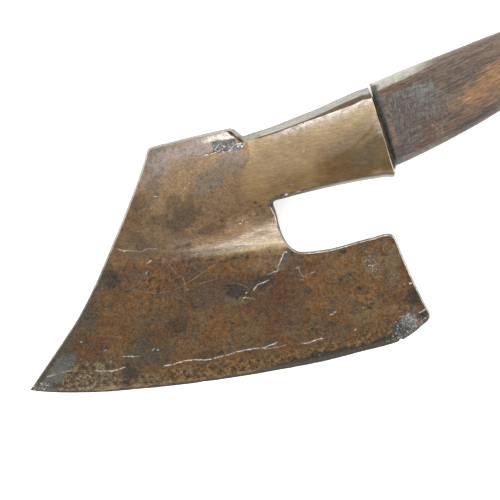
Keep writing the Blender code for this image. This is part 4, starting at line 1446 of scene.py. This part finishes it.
# The socket's face is rubbed pale along its upper rim, with a painted highlight there; the poll's face
# beside the step, and the mouth's upper corner, carry a painted highlight too.
top_rim = rim[ring_edge == edge_number["socket_top"]]
from_top = nearest_on_line(x, y, top_rim)[0]
pale = ease((2.9 - from_top + 0.5 * hills(x, y, 3, 83)) / 1.2)
pale += 0.42 * ease((8 - from_top + hills(x, y, 5, 82)) / 7)
top_rub_and_highlight = np.clip(pale, 0, 1) * rising(x, 184, 30) * (y > 132) * on_face
mouth_highlight = 0.2 * ease(1.5 - oval(x, y, 268, 147, 2.6, 14, 6) + 0.9 * hills(x, y, 2.0, 70))
top_rub_and_highlight = np.maximum(top_rub_and_highlight, mouth_highlight * on_face)
step_highlight = rising(x, 140, 18) * rising(y, 147.4, 1.4) * (x < 172)
# The bright band on the shoulder is a painted highlight.
masks["worn_face"] = 0.92 * band_highlight * on_face
# The pale rim of the socket is rubbed metal with a painted highlight, and the face beside the step a painted
# highlight.
masks["pink_rub"] = np.maximum(0.9 * top_rub_and_highlight, step_highlight) * on_face
print("rubbed pale:", int((masks["pink_rub"] > 0.5).sum()), "points")

# %% Bare metal, painted highlights on the arrises, and filed sides with a painted reflection
near_top = ease((z - face_height(x, y) + 3.5) / 1.5)
# The lips of the cracks and seams bring their painted highlight into the bright metal here.
bare = np.maximum(mark_bright, fleck_wear(x, y)) * near_top
lower_lobe = rising(x, 168, 2) * rising(y, 141.5, 1.5)
masks["specks"] = np.clip(masks["specks"] + 0.3 * broken + 0.6 * broken * lower_lobe, 0, 1) * on_face
ring_place = np.full(len(x), -1)
ring_level = np.full(len(x), -1)
for level, start in enumerate(starts + [rim_start]):
    ring_place[start:start + ring_count] = np.arange(ring_count)
    ring_level[start:start + ring_count] = level
side_edge = np.where(ring_level >= 0, ring_edge[ring_place], -1)
arris_share = (ring_level - last_wall) / ARRIS_ROWS


def along_edges(values, wanted):
    """A mask on the named edges of the head, only where the points are wanted."""
    mask = np.zeros(len(x))
    for name, value in values.items():
        mask[(side_edge == edge_number[name]) & wanted] = value
    return mask


on_swept = side_edge == edge_number["swept_edge"]
on_arris = (arris_share > 0) & (arris_share <= 1)
upper_arris = (arris_share > 0.3) & (arris_share < 0.9)
# The upper arrises of the throat, heel, swept edge and mouth are worn bright and carry a painted highlight.
arris_highlight = along_edges({"throat": 0.8, "heel_end": 0.6, "swept_edge": 0.2, "mouth": 0.6}, upper_arris)
arris_highlight *= (0.65 + 0.5 * hills(x, y, 3.0, 99)) * np.where(on_swept, y > 62, 1)
masks["bare_steel"] = np.clip(np.maximum(bare, arris_highlight), 0, 1)
masks["warm_scratch"] = mark_warm

# The side walls are painted pale grey: a filed finish, and a painted reflection of the bright sweep they face
# at a grazing angle.
filed = along_edges({"socket_top": 1.0, "step": 0.95, "poll_edge": 1.0, "swept_edge": 0.8, "heel_end": 0.5,
                     "underside": 0.8, "mouth": 0.3}, on_side)
filed *= np.where(on_swept, rising(y, 66, 40), 1)
low_wall = ease((x - 200 + 5 * hills(x, z, 9, 68)) / 40) * falling(z, 23, 9)
filed *= np.where(side_edge == edge_number["underside"], low_wall, 1)
masks["filed_side"] = filed * (0.85 + 0.25 * hills(x + y, z * 3, 2.6, 88))
print("bare steel on", int((masks["bare_steel"] > 0.5).sum()), "points")

# %% Brown bevels, inner walls painted with shade, and grime and painted shade
# Brown lies in the bevel along the socket's top, where it is partly a painted dark reflection, under the
# poll's edge and round the step. The walls of the throat and the underside are painted dark with shade.
bevel_share = np.interp(x, (196, 230, 240), (0.85, 0.9, 0.97))
# The bevel's brown is partly a painted dark reflection.
bevel = along_edges({"socket_top": 1.0}, on_arris & (arris_share < bevel_share))
bevel *= rising(x, 182, 8)
crown_of_wall = wall_height[ring_place] - np.interp(x, (222, 245, 257, 266), (0, 1.6, 2.2, 6.5))
run_down = along_edges({"socket_top": 1.0}, on_side & (x > 222)) * ease((z - crown_of_wall) / 0.8 + 0.5)
bevel = np.maximum(bevel, np.where(arris_share > 0, 0, run_down))
ledge = along_edges({"poll_edge": 0.9}, on_arris & (arris_share < 0.5))
ledge *= np.maximum(falling(x, 150, 8), rising(x, 162, 3))
notch = along_edges({"step": 1.0}, on_arris & (arris_share < 0.95))
ragged_share = 0.3 + np.where(side_edge == edge_number["underside"], 0.4 + 0.6 * hills(x, y, 1.8, 79), 0)
# The inner walls of the throat and the underside are painted dark: painted shade.
inner_wall_shade = along_edges({"throat": 0.9, "underside": 0.95}, on_side & (arris_share <= ragged_share))
inner_wall_shade *= np.where(side_edge == edge_number["underside"], 1 - 0.9 * low_wall, 1)
cutting_side = along_edges({"cutting_edge": 1.0}, ring_level >= 0)
raise_to("slate_edge", cutting_side * rising(x, 8, 6))
step_pits = stain_mask(x, y, [(167.6, 151.4, 3.0, 1.0, -42, 1.0), (173.2, 146.6, 2.6, 1.0, -58, 1.0)], 82)
step_pits = step_pits * (x < 177) * (y > 144)
masks["brown_bevel"] = np.maximum.reduce([bevel, ledge, notch, step_pits])
masks["shaded_walls"] = inner_wall_shade
keep_off("bare_steel worn_face pink_rub gold_line filed_side", masks["brown_bevel"])
keep_off("bare_steel worn_face pink_rub gold_line", parts == "hollow")
pits = stain_mask(x, y, [(*pit, 0, 1.0) for pit in PITS], 83) * (rise < 170)
dent_darkness = dent_wear(x, y)[1] * (1 - step_pits)
scallops = ease((hills(x + y, z * 2, 2.4, 81) - 0.25) / 0.4) * falling(x, 194, 6) * rising(x, 173, 3)
scallops *= side_edge == edge_number["socket_top"]
# The grooves beside cracks and seams are painted dark with shade, the dents are darkened with grime and
# painted shade, the scallops low on the socket's top wall are darkened too, and pits are dark with old rust.
grime_and_shade = np.maximum.reduce([mark_groove_shade, dent_darkness, 0.7 * scallops])
masks["grime_and_shade"] = np.clip(np.maximum(grime_and_shade, 0.75 * pits), 0, 1)
masks["dullness"] = np.clip(np.maximum.reduce([grime_and_shade, masks["shaded_walls"], 0.5 * masks["brown_bevel"]]), 0, 1)
masks["broken_grey"] = broken
masks["body"] = rising(y, 96, 20) * (1 - socket)
print("masks:", ", ".join(sorted(masks)))


# %% Write the masks on the mesh
def write_masks(piece, values):
    for name, value in values.items():
        layer = piece.data.attributes.new(name, "FLOAT", "POINT")
        layer.data.foreach_set("value", np.ascontiguousarray(value, np.float32))


write_masks(head, masks)
print(len(masks), "masks on", head.name)

# %% [markdown]
# ## The finish of the iron
#
# The ground coat is oiled brown patina, clouded at several sizes at once, because one
# noise alone looks like camouflage. Each mask then lays its own tone over it, with its edge broken by
# the same clouds. Patina is thin, so the coat stays mostly metallic, and only the grime, the painted
# shade and the brown bevels are dull.

# %% Forged iron
CLOUD_LOW, CLOUD_HIGH = 0.38, 0.62

iron, tree, shader = new_finish("patinated_iron")
where = add("ShaderNodeTexCoord").outputs["Object"]
clouds = grain(where, 17, detail=4, roughness=0.55)
mottle = grain(where, 4.0, detail=6, roughness=0.75)
grit = grain(where, 1.6, detail=5, roughness=0.8)
brushed = stretched_grain(where, 7, 0.8, detail=4)
slanted = stretched_grain(where, 5, 0.8, detail=4, turn=32)


def blend_of(first, second, share):
    """Two noises added together, the first with its share of the whole."""
    return plus(times(first, share), times(second, 1 - share))


def two_tone(dark, light, by):
    """A tone clouded between a darker and a lighter colour."""
    return tones(by, [(CLOUD_LOW, dark), (CLOUD_HIGH, light)])


def clouded(tone, by, swing, blush):
    """A tone clouded between a darker, greyer shade of itself and a lighter, warmer one."""
    grey = sum(tone) / 3
    shades = []
    for side in (-1, 1):
        warmed = [grey + (channel - grey) * (1 + side * blush) for channel in tone]
        shades.append(tuple(channel * (1 + side * swing) for channel in warmed))
    return tones(by, [(CLOUD_LOW, shades[0]), (0.5, tone), (CLOUD_HIGH, shades[1])])


def mask_of(name, raggedness=0.0):
    """A mask read from the mesh, with its edge broken up by the mottle."""
    node = add("ShaderNodeAttribute", attribute_type="GEOMETRY", attribute_name=name)
    value = node.outputs["Fac"]
    if raggedness:
        shake = times(minus(mottle, 0.5), raggedness)
        value = spread(times(value, plus(shake, 1.0)), 0.0, 1.0)
    return value


def layered(coat, layers):
    """A coat with tones laid over it in turn: each layer is (tone, how much of it)."""
    for tone, amount in layers:
        coat = laid_over(coat, tone, amount)
    return coat


def with_coats(coat, coats):
    """A coat with others laid over it, each clouded and kept to its mask."""
    return layered(coat, [(clouded(tone, by, swing, blush), mask_of(name, raggedness))
                          for name, raggedness, tone, by, swing, blush in coats])


stir = blend_of(clouds, mottle, 0.25)
drift = blend_of(clouds, mottle, 0.6)
coat = clouded((0.150, 0.089, 0.047), stir, 0.20, 0.10)
print("iron noises ready, with", len(tree.nodes), "nodes")

# %% Coats of patina
# The body's rubbed coat and the socket's light gold also carry a painted sheen.
# Each coat is (mask, raggedness, tone, noise, swing of its brightness, swing of its warmth).
BROWN_COATS = [
    ("worn_body_and_sheen", 0.9, (0.280, 0.192, 0.117), drift, 0.11, 0.12),
    ("tan_patina", 1.8, (0.200, 0.116, 0.054), stir, 0.20, 0.10),
    ("red_patina", 2.0, (0.130, 0.069, 0.040), stir, 0.18, 0.10),
    ("rust_red", 2.0, (0.190, 0.100, 0.060), stir, 0.18, 0.10),
    ("light_rust", 1.8, (0.235, 0.134, 0.062), stir, 0.18, 0.10),
    ("deep_brown", 2.2, (0.090, 0.055, 0.036), stir, 0.16, 0.08),
]
OTHER_COATS = [
    ("violet_patina", 1.6, (0.110, 0.080, 0.064), stir, 0.14, 0.08),
    ("gold_patina", 1.0, (0.330, 0.220, 0.128), drift, 0.07, 0.10),
    ("plum_patina", 0.9, (0.325, 0.264, 0.232), drift, 0.08, 0.12),
    ("olive_patina", 1.8, (0.098, 0.083, 0.057), stir, 0.12, 0.12),
    ("grey_tan", 1.8, (0.193, 0.144, 0.083), stir, 0.16, 0.14),
    ("dark_patina", 1.8, (0.066, 0.058, 0.045), stir, 0.14, 0.12),
    ("grey_border", 1.6, (0.098, 0.084, 0.064), stir, 0.16, 0.12),
    ("blue_patina", 0.8, (0.138, 0.135, 0.123), stir, 0.10, 0.10),
    ("socket_dark", 0.0, (0.165, 0.099, 0.042), drift, 0.10, 0.10),
    ("socket_gold_and_sheen", 0.0, (0.550, 0.410, 0.248), drift, 0.09, 0.10),
    ("olive_gold", 0.0, (0.160, 0.120, 0.069), drift, 0.09, 0.10),
    ("ash_patina", 1.4, (0.215, 0.175, 0.140), drift, 0.12, 0.12),
]

# The rust's hue wanders between orange and olive before the greys and the golds go on.
coat = with_coats(coat, BROWN_COATS)
hue = blend_of(grain(where, 12, detail=3, roughness=0.6), grain(where, 4.2, detail=4, roughness=0.65), 0.5)
wander = tones(hue, [(0.40, (0.84, 1.02, 1.22)), (0.50, (1.0, 1.0, 1.0)), (0.60, (1.13, 0.98, 0.78))])
tint = laid_over((1.0, 1.0, 1.0), wander, mask_of("vivid"))
coat = with_coats(vector_result("MULTIPLY", {0: coat, 1: tint}), OTHER_COATS)
print(len(BROWN_COATS), "brown coats and", len(OTHER_COATS), "others")

# %% Speckles, worn places and bare steel, with painted highlights, reflections and shade
SPOT_SIZE = 5.0

rust = grain(where, 3.3, detail=4, roughness=0.7)
dust = grain(where, 0.75, detail=1)
speckles = mask_of("speckles")
cells = feed(add("ShaderNodeTexVoronoi"), {"Vector": where, "Scale": 1 / (SPOT_SIZE * MM)})
spot = plus(cells.outputs["Distance"], times(mottle, 0.55))
freckles = blend_of(rust, grit, 0.75)
tan_freckled = tones(freckles, [(0.41, (0.062, 0.044, 0.028)), (0.47, (0.115, 0.070, 0.033)),
                                (0.53, (0.195, 0.118, 0.051)), (0.60, (0.275, 0.178, 0.086))])
grey_freckled = tones(freckles, [(0.42, (0.066, 0.052, 0.037)), (0.48, (0.115, 0.082, 0.048)),
                                 (0.54, (0.190, 0.145, 0.088)), (0.61, (0.280, 0.222, 0.142))])
away_from_middle = calculated("ABSOLUTE", minus(grain(where, 2.4, detail=3), 0.5))
web = spread(away_from_middle, 0.055, 0.0, 0.22, 1.0)
SPECKLED = [
    ((0.062, 0.042, 0.033), times(times(spread(rust, 0.46, 0.40), speckles), 0.62)),
    ((0.052, 0.038, 0.032), times(times(spread(spot, 0.58, 0.44), speckles), 0.6)),
    ((0.215, 0.125, 0.060), times(times(spread(grit, 0.54, 0.62), speckles), 0.40)),
    (tan_freckled, times(mask_of("tan_freckles"), 0.92)),
    (grey_freckled, times(mask_of("grey_freckles"), 0.88)),
    (clouded((0.057, 0.052, 0.043), stir, 0.16, 0.10), mask_of("slate_edge", 1.2)),
    (clouded((0.088, 0.080, 0.066), stir, 0.16, 0.10), mask_of("slate_toe", 0.8)),
    (clouded((0.076, 0.076, 0.068), stir, 0.16, 0.10), mask_of("charcoal", 1.5)),
]
# These layers hold wear and bare metal, and also painted light and shade: highlights on the shoulder, the
# rims, the arrises and the crack lips, a pale reflection on the side walls, and shade on the inner walls.
WEAR_LIGHT_AND_SHADE = [
    (two_tone((0.50, 0.40, 0.30), (0.72, 0.63, 0.52), brushed), mask_of("worn_face", 0.4)),
    ((0.66, 0.52, 0.29), mask_of("gold_line", 0.5)),
    (two_tone((0.54, 0.45, 0.37), (0.93, 0.87, 0.81), mottle), mask_of("pink_rub", 1.2)),
    (two_tone((0.25, 0.25, 0.215), (0.34, 0.34, 0.295), drift), mask_of("filed_side")),
    ((0.42, 0.42, 0.40), times(web, mask_of("pale_bloom", 2.0))),
    ((0.45, 0.17, 0.14), mask_of("red_spot")),
    (two_tone((0.060, 0.060, 0.058), (0.200, 0.197, 0.193), grit), mask_of("broken_grey")),
    (two_tone((0.056, 0.036, 0.019), (0.112, 0.071, 0.038), mottle), mask_of("brown_bevel")),
    (two_tone((0.030, 0.024, 0.017), (0.075, 0.062, 0.046), grit), mask_of("shaded_walls")),
    ((0.38, 0.245, 0.155), mask_of("warm_scratch")),
    ((0.042, 0.035, 0.029), mask_of("grime_and_shade", 0.8)),
    ((0.62, 0.60, 0.56), times(spread(dust, 0.60, 0.70), mask_of("specks"))),
    ((0.84, 0.77, 0.70), mask_of("bare_steel")),
]
coat = layered(coat, SPECKLED + WEAR_LIGHT_AND_SHADE)
print(len(SPECKLED), "layers of speckles and slate,", len(WEAR_LIGHT_AND_SHADE), "of wear")

# %% The grain, gloss and bump of the iron
# A fine grain lies over everything, brushed on the body and calmer on the socket.
strokes = laid_over(brushed, slanted, mask_of("body"))
shade = spread(laid_over(grit, strokes, mask_of("brushing")), 0.35, 0.65, 0.66, 1.34)
shade = plus(shade, spread(dust, 0.3, 0.7, -0.18, 0.18))
shade = plus(shade, times(minus(1.0, shade), mask_of("calm")))
dullness = mask_of("dullness")
feed(shader, {
    "Base Color": vector_result("SCALE", {0: coat, "Scale": shade}),
    "Roughness": plus(spread(mottle, 0.3, 0.7, 0.36, 0.50), times(dullness, 0.3)),
    "Metallic": spread(dullness, 0.0, 1.0, 0.9, 0.1),
    "Normal": bumped(plus(mottle, times(grit, 0.6)), 0.35, 0.00012),
})
head.data.materials.append(iron)
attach(head, "root")
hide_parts("axe_head")
print("iron finish:", len(tree.nodes), "nodes")

# %% [markdown]
# ## The handle
#
# The handle is a bent length of hardwood. Its tenon fills the socket, its shoulder stands
# just off the mouth, and from there the section changes from a flat box to an oval for the hands.
# It also rises a little from the timber, to save the woodworker's knuckles.
#
# It is a row of sections joined up like the ribs of a boat. Each section is a rounded box that is
# pushed in and out by a fraction of a millimetre for the grain and the knife's facets.

# %% The handle's lines
FIT_GAP = 0.3
TENON_SHORT_BY = 1.5
TENON_NOSE = 2.0
SHOULDER_GAP = 0.9
NECK_LOWER = [(275.2, 110.2), (306, 118.6), (335, 128.7), (372, 143), (414, 156)]
NECK_UPPER = [(269.1, 168.0), (330, 181.8), (400, 195.4)]
GRIP_LOWER = [(490, 172), (560, 186.6), (606, 195.4)]
GRIP_UPPER = [(480, 209.4), (560, 226.6), (598, 235)]
HALF_THICKNESSES = (13.4, 12.4)
SECTION_CORNERS = (5.0, 2.5)
HANDLE_RISE = math.radians(7)
RISE_SETS_IN = 70.0
NECK_LENGTH = 0.4
BUTT_SWELL = 1.8
BUTT_SWELL_FROM = 0.8
BUTT_ROUND = 9.0
HANDLE_ROWS = 240
ROUND_POINTS = 176

low_line = curve_through(NECK_LOWER + GRIP_LOWER, parts=HANDLE_ROWS)
high_line = curve_through(NECK_UPPER + GRIP_UPPER, parts=HANDLE_ROWS)
middle_line = (low_line + high_line) / 2
steps = np.linalg.norm(np.diff(middle_line, axis=0), axis=1)
reached = np.concatenate([[0.0], np.cumsum(steps)])
rises = HANDLE_RISE * ease(reached / RISE_SETS_IN)
heights = HOLLOW_CENTRES[1][2] + np.concatenate([[0.0], np.cumsum(steps * np.tan(rises[1:]))])
print("the handle is", round(reached[-1]), "mm long outside the socket,",
      "and rises to", round(heights[-1]), "mm")

# %% One section of the handle
SHOULDER_BEVEL = (3.1, 2.6)
LOWER_BEVEL = 4.4


def section_shape(row):
    """The across and up distances of a section, with its bevels near the shoulder."""
    q = row / HANDLE_ROWS
    near_shoulder = 1 - ease(reached[row] / 75)
    swell = BUTT_SWELL * ease((q - BUTT_SWELL_FROM) / (1 - BUTT_SWELL_FROM))
    past_neck = ease(q / NECK_LENGTH)
    half_depth = np.linalg.norm(high_line[row] - low_line[row]) / 2 + swell
    half_thickness = between(HALF_THICKNESSES, past_neck) + swell
    lean = 0.5 * SOCKET_LEAN * near_shoulder
    corner = between(SECTION_CORNERS, past_neck)
    across, up = rounded_box(half_depth, half_thickness, corner, lean, ROUND_POINTS)
    bevel = 0.8 + LOWER_BEVEL * (1 - ease((reached[row] - 8) / 60))
    over = (-across - half_depth + lean * half_thickness + bevel) + (up - half_thickness + bevel) - bevel
    over = np.maximum(over, 0) / 2
    return across + over, up - over, half_depth, half_thickness


def set_section(row, across, up):
    """Places a section's points across the handle's line, tipped by its rise."""
    depth_way = np.array([*unit(high_line[row] - low_line[row]), 0.0])
    forward = np.array([depth_way[1], -depth_way[0], 0.0])
    up_way = np.array([0.0, 0.0, math.cos(rises[row])]) - forward * math.sin(rises[row])
    centre = np.array([*middle_line[row], heights[row]])
    return centre + across[:, None] * depth_way + up[:, None] * up_way


def grain_relief(along, around, seed):
    """Knife facets, soft dents and open grain on the wood, in millimetres."""
    facets = 0.16 * hills(along * 0.30, around, 8, seed) + 0.10 * hills(along, around, 17, seed + 1)
    pores = -0.09 * np.clip(hills(along * 0.07, around, 0.9, seed + 2) - 0.1, 0, 1)
    return facets + pores + 0.03 * hills(along * 0.3, around, 1.6, seed + 3)


def around_of(section):
    steps_round = np.linalg.norm(np.roll(section, -1, axis=0) - section, axis=1)
    return np.concatenate([[0.0], np.cumsum(steps_round)])[:-1]


def relieved(section, along, amount=1.0):
    """A section with the wood's relief pushed into it."""
    middle = section.mean(0)
    out = section - middle
    size = np.linalg.norm(out, axis=1)
    push = amount * grain_relief(np.full(len(section), along), around_of(section), 201)
    return middle + out * (1 + push / size)[:, None]


print("shoulder bevel:", SHOULDER_BEVEL, "mm wide and deep")

# %% The ribs from tenon to butt
TENON_RIBS = 8
TENON_RIBS_FROM = 0.2
SHOULDER_CLOSE_UP = 1.9
BUTT_RIBS = 12
BUTT_TURN = math.radians(86)

wood_skin = Skin()
grain_place = []


def add_rib(points, along, across, up):
    """Adds a ring of the handle, and keeps where it lies in the wood's own grain."""
    start = wood_skin.add(points, "wood")
    grain_place.append(np.column_stack([np.full(len(points), along), across, up]))
    return start


socket_length = np.linalg.norm(np.subtract(*HOLLOW_CENTRES))
nose = TENON_SHORT_BY / socket_length
ribs = []
for t, shrink in [(nose, FIT_GAP + TENON_NOSE / 2), (nose + TENON_NOSE / socket_length, FIT_GAP)] + [
        (t, FIT_GAP) for t in np.linspace(TENON_RIBS_FROM, 1 + SHOULDER_GAP / socket_length, TENON_RIBS)]:
    ring = hollow_section(t, shrink, ROUND_POINTS)
    up_mouth = (ring[:, :2] - HOLLOW_CENTRES[1][:2]) @ mouth_way
    ribs.append(add_rib(ring, (t - 1) * socket_length, up_mouth, ring[:, 2]))
tenon_end = ring

across, up, half_depth, half_thickness = section_shape(0)
backward = unit(middle_line[0] - middle_line[1])
close_up = SHOULDER_CLOSE_UP * np.sqrt(np.clip(0.5 + 0.5 * across / half_depth, 0, 1))
for part in (0.0, 0.25, 0.5, 0.75, 1.0):
    sunk = np.minimum(up, half_thickness - SHOULDER_BEVEL[1] * (1 - part))
    ring = set_section(0, across, sunk)
    ring[:, :2] += backward * (close_up * (1 - part) - SHOULDER_BEVEL[0] * 0.5 * part)[:, None]
    if part == 0.0:
        for inner_part in (0.34, 0.67):
            between_rings = tenon_end + (ring - tenon_end) * inner_part
            ribs.append(add_rib(between_rings, 0.0, across, sunk))
        bevel_start = len(ribs)
    ribs.append(add_rib(ring, SHOULDER_BEVEL[0] * part, across, sunk))
first_row = int(np.searchsorted(reached, SHOULDER_BEVEL[0]))
for row in range(first_row, HANDLE_ROWS + 1):
    across, up, half_depth, half_thickness = section_shape(row)
    ring = set_section(row, across, up)
    ribs.append(add_rib(relieved(ring, reached[row], ease(reached[row] / 6)), reached[row], across, up))

butt = set_section(HANDLE_ROWS, across, up)
butt_middle = butt.mean(0)
butt_out = butt - butt_middle
butt_forward = unit(np.cross(butt_out[0], butt_out[ROUND_POINTS // 4]))
for angle in np.linspace(0, BUTT_TURN, BUTT_RIBS + 1)[1:]:
    size = np.linalg.norm(butt_out, axis=1)[:, None]
    drawn_in = butt_out * (size - BUTT_ROUND * (1 - math.cos(angle))) / size
    ring = butt_middle + drawn_in + butt_forward * BUTT_ROUND * math.sin(angle)
    ahead = reached[-1] + BUTT_ROUND * math.sin(angle)
    ribs.append(add_rib(relieved(ring, ahead), ahead, across, up))
for scale in (0.8, 0.6, 0.4, 0.2):
    inner_ring = butt_middle + drawn_in * scale + butt_forward * BUTT_ROUND * math.sin(angle)
    ribs.append(add_rib(inner_ring, ahead, across * scale, up * scale))
for low, high in zip(ribs, ribs[1:]):
    wood_skin.bridge(low, high, ROUND_POINTS)
for rib in (ribs[0], ribs[-1]):
    ring = np.vstack(wood_skin.points)[rib:rib + ROUND_POINTS]
    middle = add_rib(ring.mean(0)[None, :], grain_place[0][0, 0] if rib == ribs[0] else ahead, 0.0, 0.0)
    for i in range(ROUND_POINTS):
        wood_skin.faces.append((rib + i, rib + (i + 1) % ROUND_POINTS, middle))
print(len(ribs), "ribs of", ROUND_POINTS, "points")

# %% Make the handle's mesh
handle, wood_points = make_piece("axe_handle", wood_skin, sharp_angle=40)

# %% [markdown]
# ## Where the wood is worn
#
# The neck is black and grey with grease where it meets the iron, and the wood shows orange where the
# hand slides. The shoulder's bevel and the tenon in the socket are painted nearly black, a painted shade
# of the gap at the mouth, with a worn line of bare wood behind it. The masks lie on the upper side; the
# rest of the handle keeps a plainer finish of the same wood.

# %% Masks of the wood
WOOD_STAINS = {
    "grease": [
        (279, 119, 6, 9, 0, 1.0), (286, 150, 13, 12, 10, 0.95), (283, 134, 10, 16, 0, 0.9),
        (297, 148, 12, 11, 0, 0.85), (292, 122, 10, 7, 0, 0.7), (308, 140, 9, 9, 0, 0.7),
        (320, 150, 10, 7, 14, 0.5), (330, 164, 14, 5, 12, 0.5), (300, 160, 14, 5, 10, 0.7),
    ],
    "red_wood": [
        (283, 163.6, 9, 1.9, 6, 1.0), (302, 131, 6, 7, 0, 0.8), (298, 121.5, 12, 3.4, 14, 0.9),
        (311, 137, 5, 6, 0, 0.4), (290, 138, 5, 4, 0, 0.3), (279, 128, 3, 7, 10, 0.3),
        (322, 133, 10, 3, 18, 0.6),
    ],
    "grey_wood": [(286, 158, 4, 4, 12, 0.6), (300, 158.5, 9, 5, 12, 0.9), (308, 152, 6, 5, 0, 0.5)],
    "orange_wood": [
        (334, 150, 20, 5.0, 18, 0.9), (354, 160, 22, 8, 16, 0.8), (345, 146, 14, 2.6, 18, 0.5),
        (322, 163, 10, 2, 16, 0.4), (420, 172, 60, 14, 12, 0.5), (540, 205, 60, 16, 12, 0.5),
    ],
    "dark_wood": [
        (278, 117, 4, 8, 8, 0.5), (300, 116.5, 14, 2.2, 16, 0.9), (330, 131, 18, 2.4, 20, 0.7),
        (318, 155, 9, 3, 14, 0.4), (345, 152, 12, 1.4, 18, 0.4), (480, 190, 40, 10, 12, 0.3),
        (274, 112, 3, 3, 0, 0.8),
    ],
    "pale_rub": [
        (308, 136, 5, 10, -14, 0.5), (304, 146, 10, 8, 0, 0.5), (318, 150, 8, 7, 0, 0.5),
        (284, 148, 10, 12, 0, 0.45),
    ],
}
x, y, z = wood_points.T
place = np.vstack(grain_place)
along, across, up = place.T
on_top = rising(up, 4, 4)
wood_masks = {name: stain_mask(x, y, stains, 900 + 100 * k) * on_top
              for k, (name, stains) in enumerate(WOOD_STAINS.items())}
in_socket = np.arange(len(x)) < ribs[bevel_start]
bevel_width = SHOULDER_BEVEL[0] + 0.4 * hills(x, y, 5, 211)
shoulder = ease((bevel_width - along) / 0.5) * (along >= 0) * on_top
worn_line = np.exp(-(((along - bevel_width - 1.0) / 0.8) ** 2)) * on_top * (0.6 + 0.6 * hills(x, y, 4, 212))
worn_line *= ease((across + 26) / 12) * falling(across, 21, 6)
side_of_neck = ease((np.abs(across) - (25.4 - 0.13 * up)) / 0.7) * (1 - rising(along, 24, 26)) * (along > 1.2)
# The shoulder's bevel and the tenon inside the socket are painted near black: painted shade in the gap at the
# mouth.
wood_masks["shoulder_shade"] = np.maximum(shoulder, 1.0 * in_socket)
wood_masks["worn_line"] = np.clip(worn_line, 0, 1)
# The sides of the neck carry a painted reflection of the bright surroundings: pale on one side and dimmer
# grey on the other.
wood_masks["pale_side_reflection"] = side_of_neck * (across > 0)
wood_masks["dim_side_reflection"] = side_of_neck * (across < 0)
for name, value in zip(("grain_along", "grain_across", "grain_up"), place.T * MM):
    wood_masks[name] = value
write_masks(handle, wood_masks)
print("wood masks:", ", ".join(sorted(wood_masks)))

# %% [markdown]
# ## The finish of the wood
#
# Wood grain is a noise stretched along the stick, so the finish reads its place in the wood's own
# directions, which bend with the handle. Broad streaks give the colour, fine fibres the pores, and
# short strokes across the grain are the rub marks of years of use.

# %% Old wood
wood, tree, shader = new_finish("old_wood")
ways = ("grain_along", "grain_across", "grain_up")
grain_where = feed(add("ShaderNodeCombineXYZ"), {k: mask_of(way) for k, way in enumerate(ways)}).outputs[0]
streaks = stretched_grain(grain_where, 42, 2.6, detail=4)
fibres = stretched_grain(grain_where, 9, 0.8, detail=3)
rubs = stretched_grain(grain_where, 5, 0.8, detail=3, turn=74)
strokes = stretched_grain(grain_where, 3.6, 0.6, detail=2, turn=104)
mottle = grain(grain_where, 3.0, detail=4, roughness=0.7)
body = blend_of(streaks, fibres, 0.4)
hatch = blend_of(rubs, fibres, 0.55)
scuffs = times(spread(strokes, 0.50, 0.68), mask_of("pale_rub", 1.5))
coat = two_tone((0.052, 0.036, 0.027), (0.165, 0.111, 0.078), body)
WOOD_LAYERS = [
    (two_tone((0.145, 0.076, 0.036), (0.345, 0.187, 0.082), body), mask_of("orange_wood", 1.4)),
    (two_tone((0.038, 0.031, 0.027), (0.110, 0.094, 0.086), hatch), mask_of("grease", 1.2)),
    (two_tone((0.080, 0.079, 0.071), (0.170, 0.168, 0.155), hatch), mask_of("grey_wood", 1.4)),
    (two_tone((0.050, 0.024, 0.016), (0.150, 0.074, 0.046), body), mask_of("red_wood", 1.6)),
    (two_tone((0.026, 0.020, 0.016), (0.085, 0.062, 0.048), body), mask_of("dark_wood", 1.6)),
    ((0.28, 0.245, 0.22), times(scuffs, 0.7)),
    ((0.21, 0.125, 0.080), times(mask_of("worn_line", 1.5), 0.8)),
    # The neck's sides are painted with a reflection, and the shoulder near black with shade.
    (two_tone((0.075, 0.062, 0.050), (0.135, 0.115, 0.095), mottle), mask_of("dim_side_reflection", 1.0)),
    (two_tone((0.26, 0.26, 0.22), (0.35, 0.35, 0.30), hatch), mask_of("pale_side_reflection", 1.0)),
    (two_tone((0.026, 0.027, 0.023), (0.068, 0.069, 0.060), mottle), mask_of("shoulder_shade")),
]
coat = layered(coat, WOOD_LAYERS)
hairs = laid_over(stretched_grain(grain_where, 3, 0.42), strokes, mask_of("pale_rub"))
feed(shader, {
    "Base Color": vector_result("SCALE", {0: coat, "Scale": spread(hairs, 0.35, 0.65, 0.68, 1.34)}),
    "Roughness": spread(fibres, 0.3, 0.7, 0.44, 0.62),
    "Normal": bumped(plus(fibres, times(strokes, 0.4)), 0.5, 0.0003),
})
handle.data.materials.append(wood)
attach(handle, "root")
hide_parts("handle")
print("wood finish:", len(tree.nodes), "nodes")
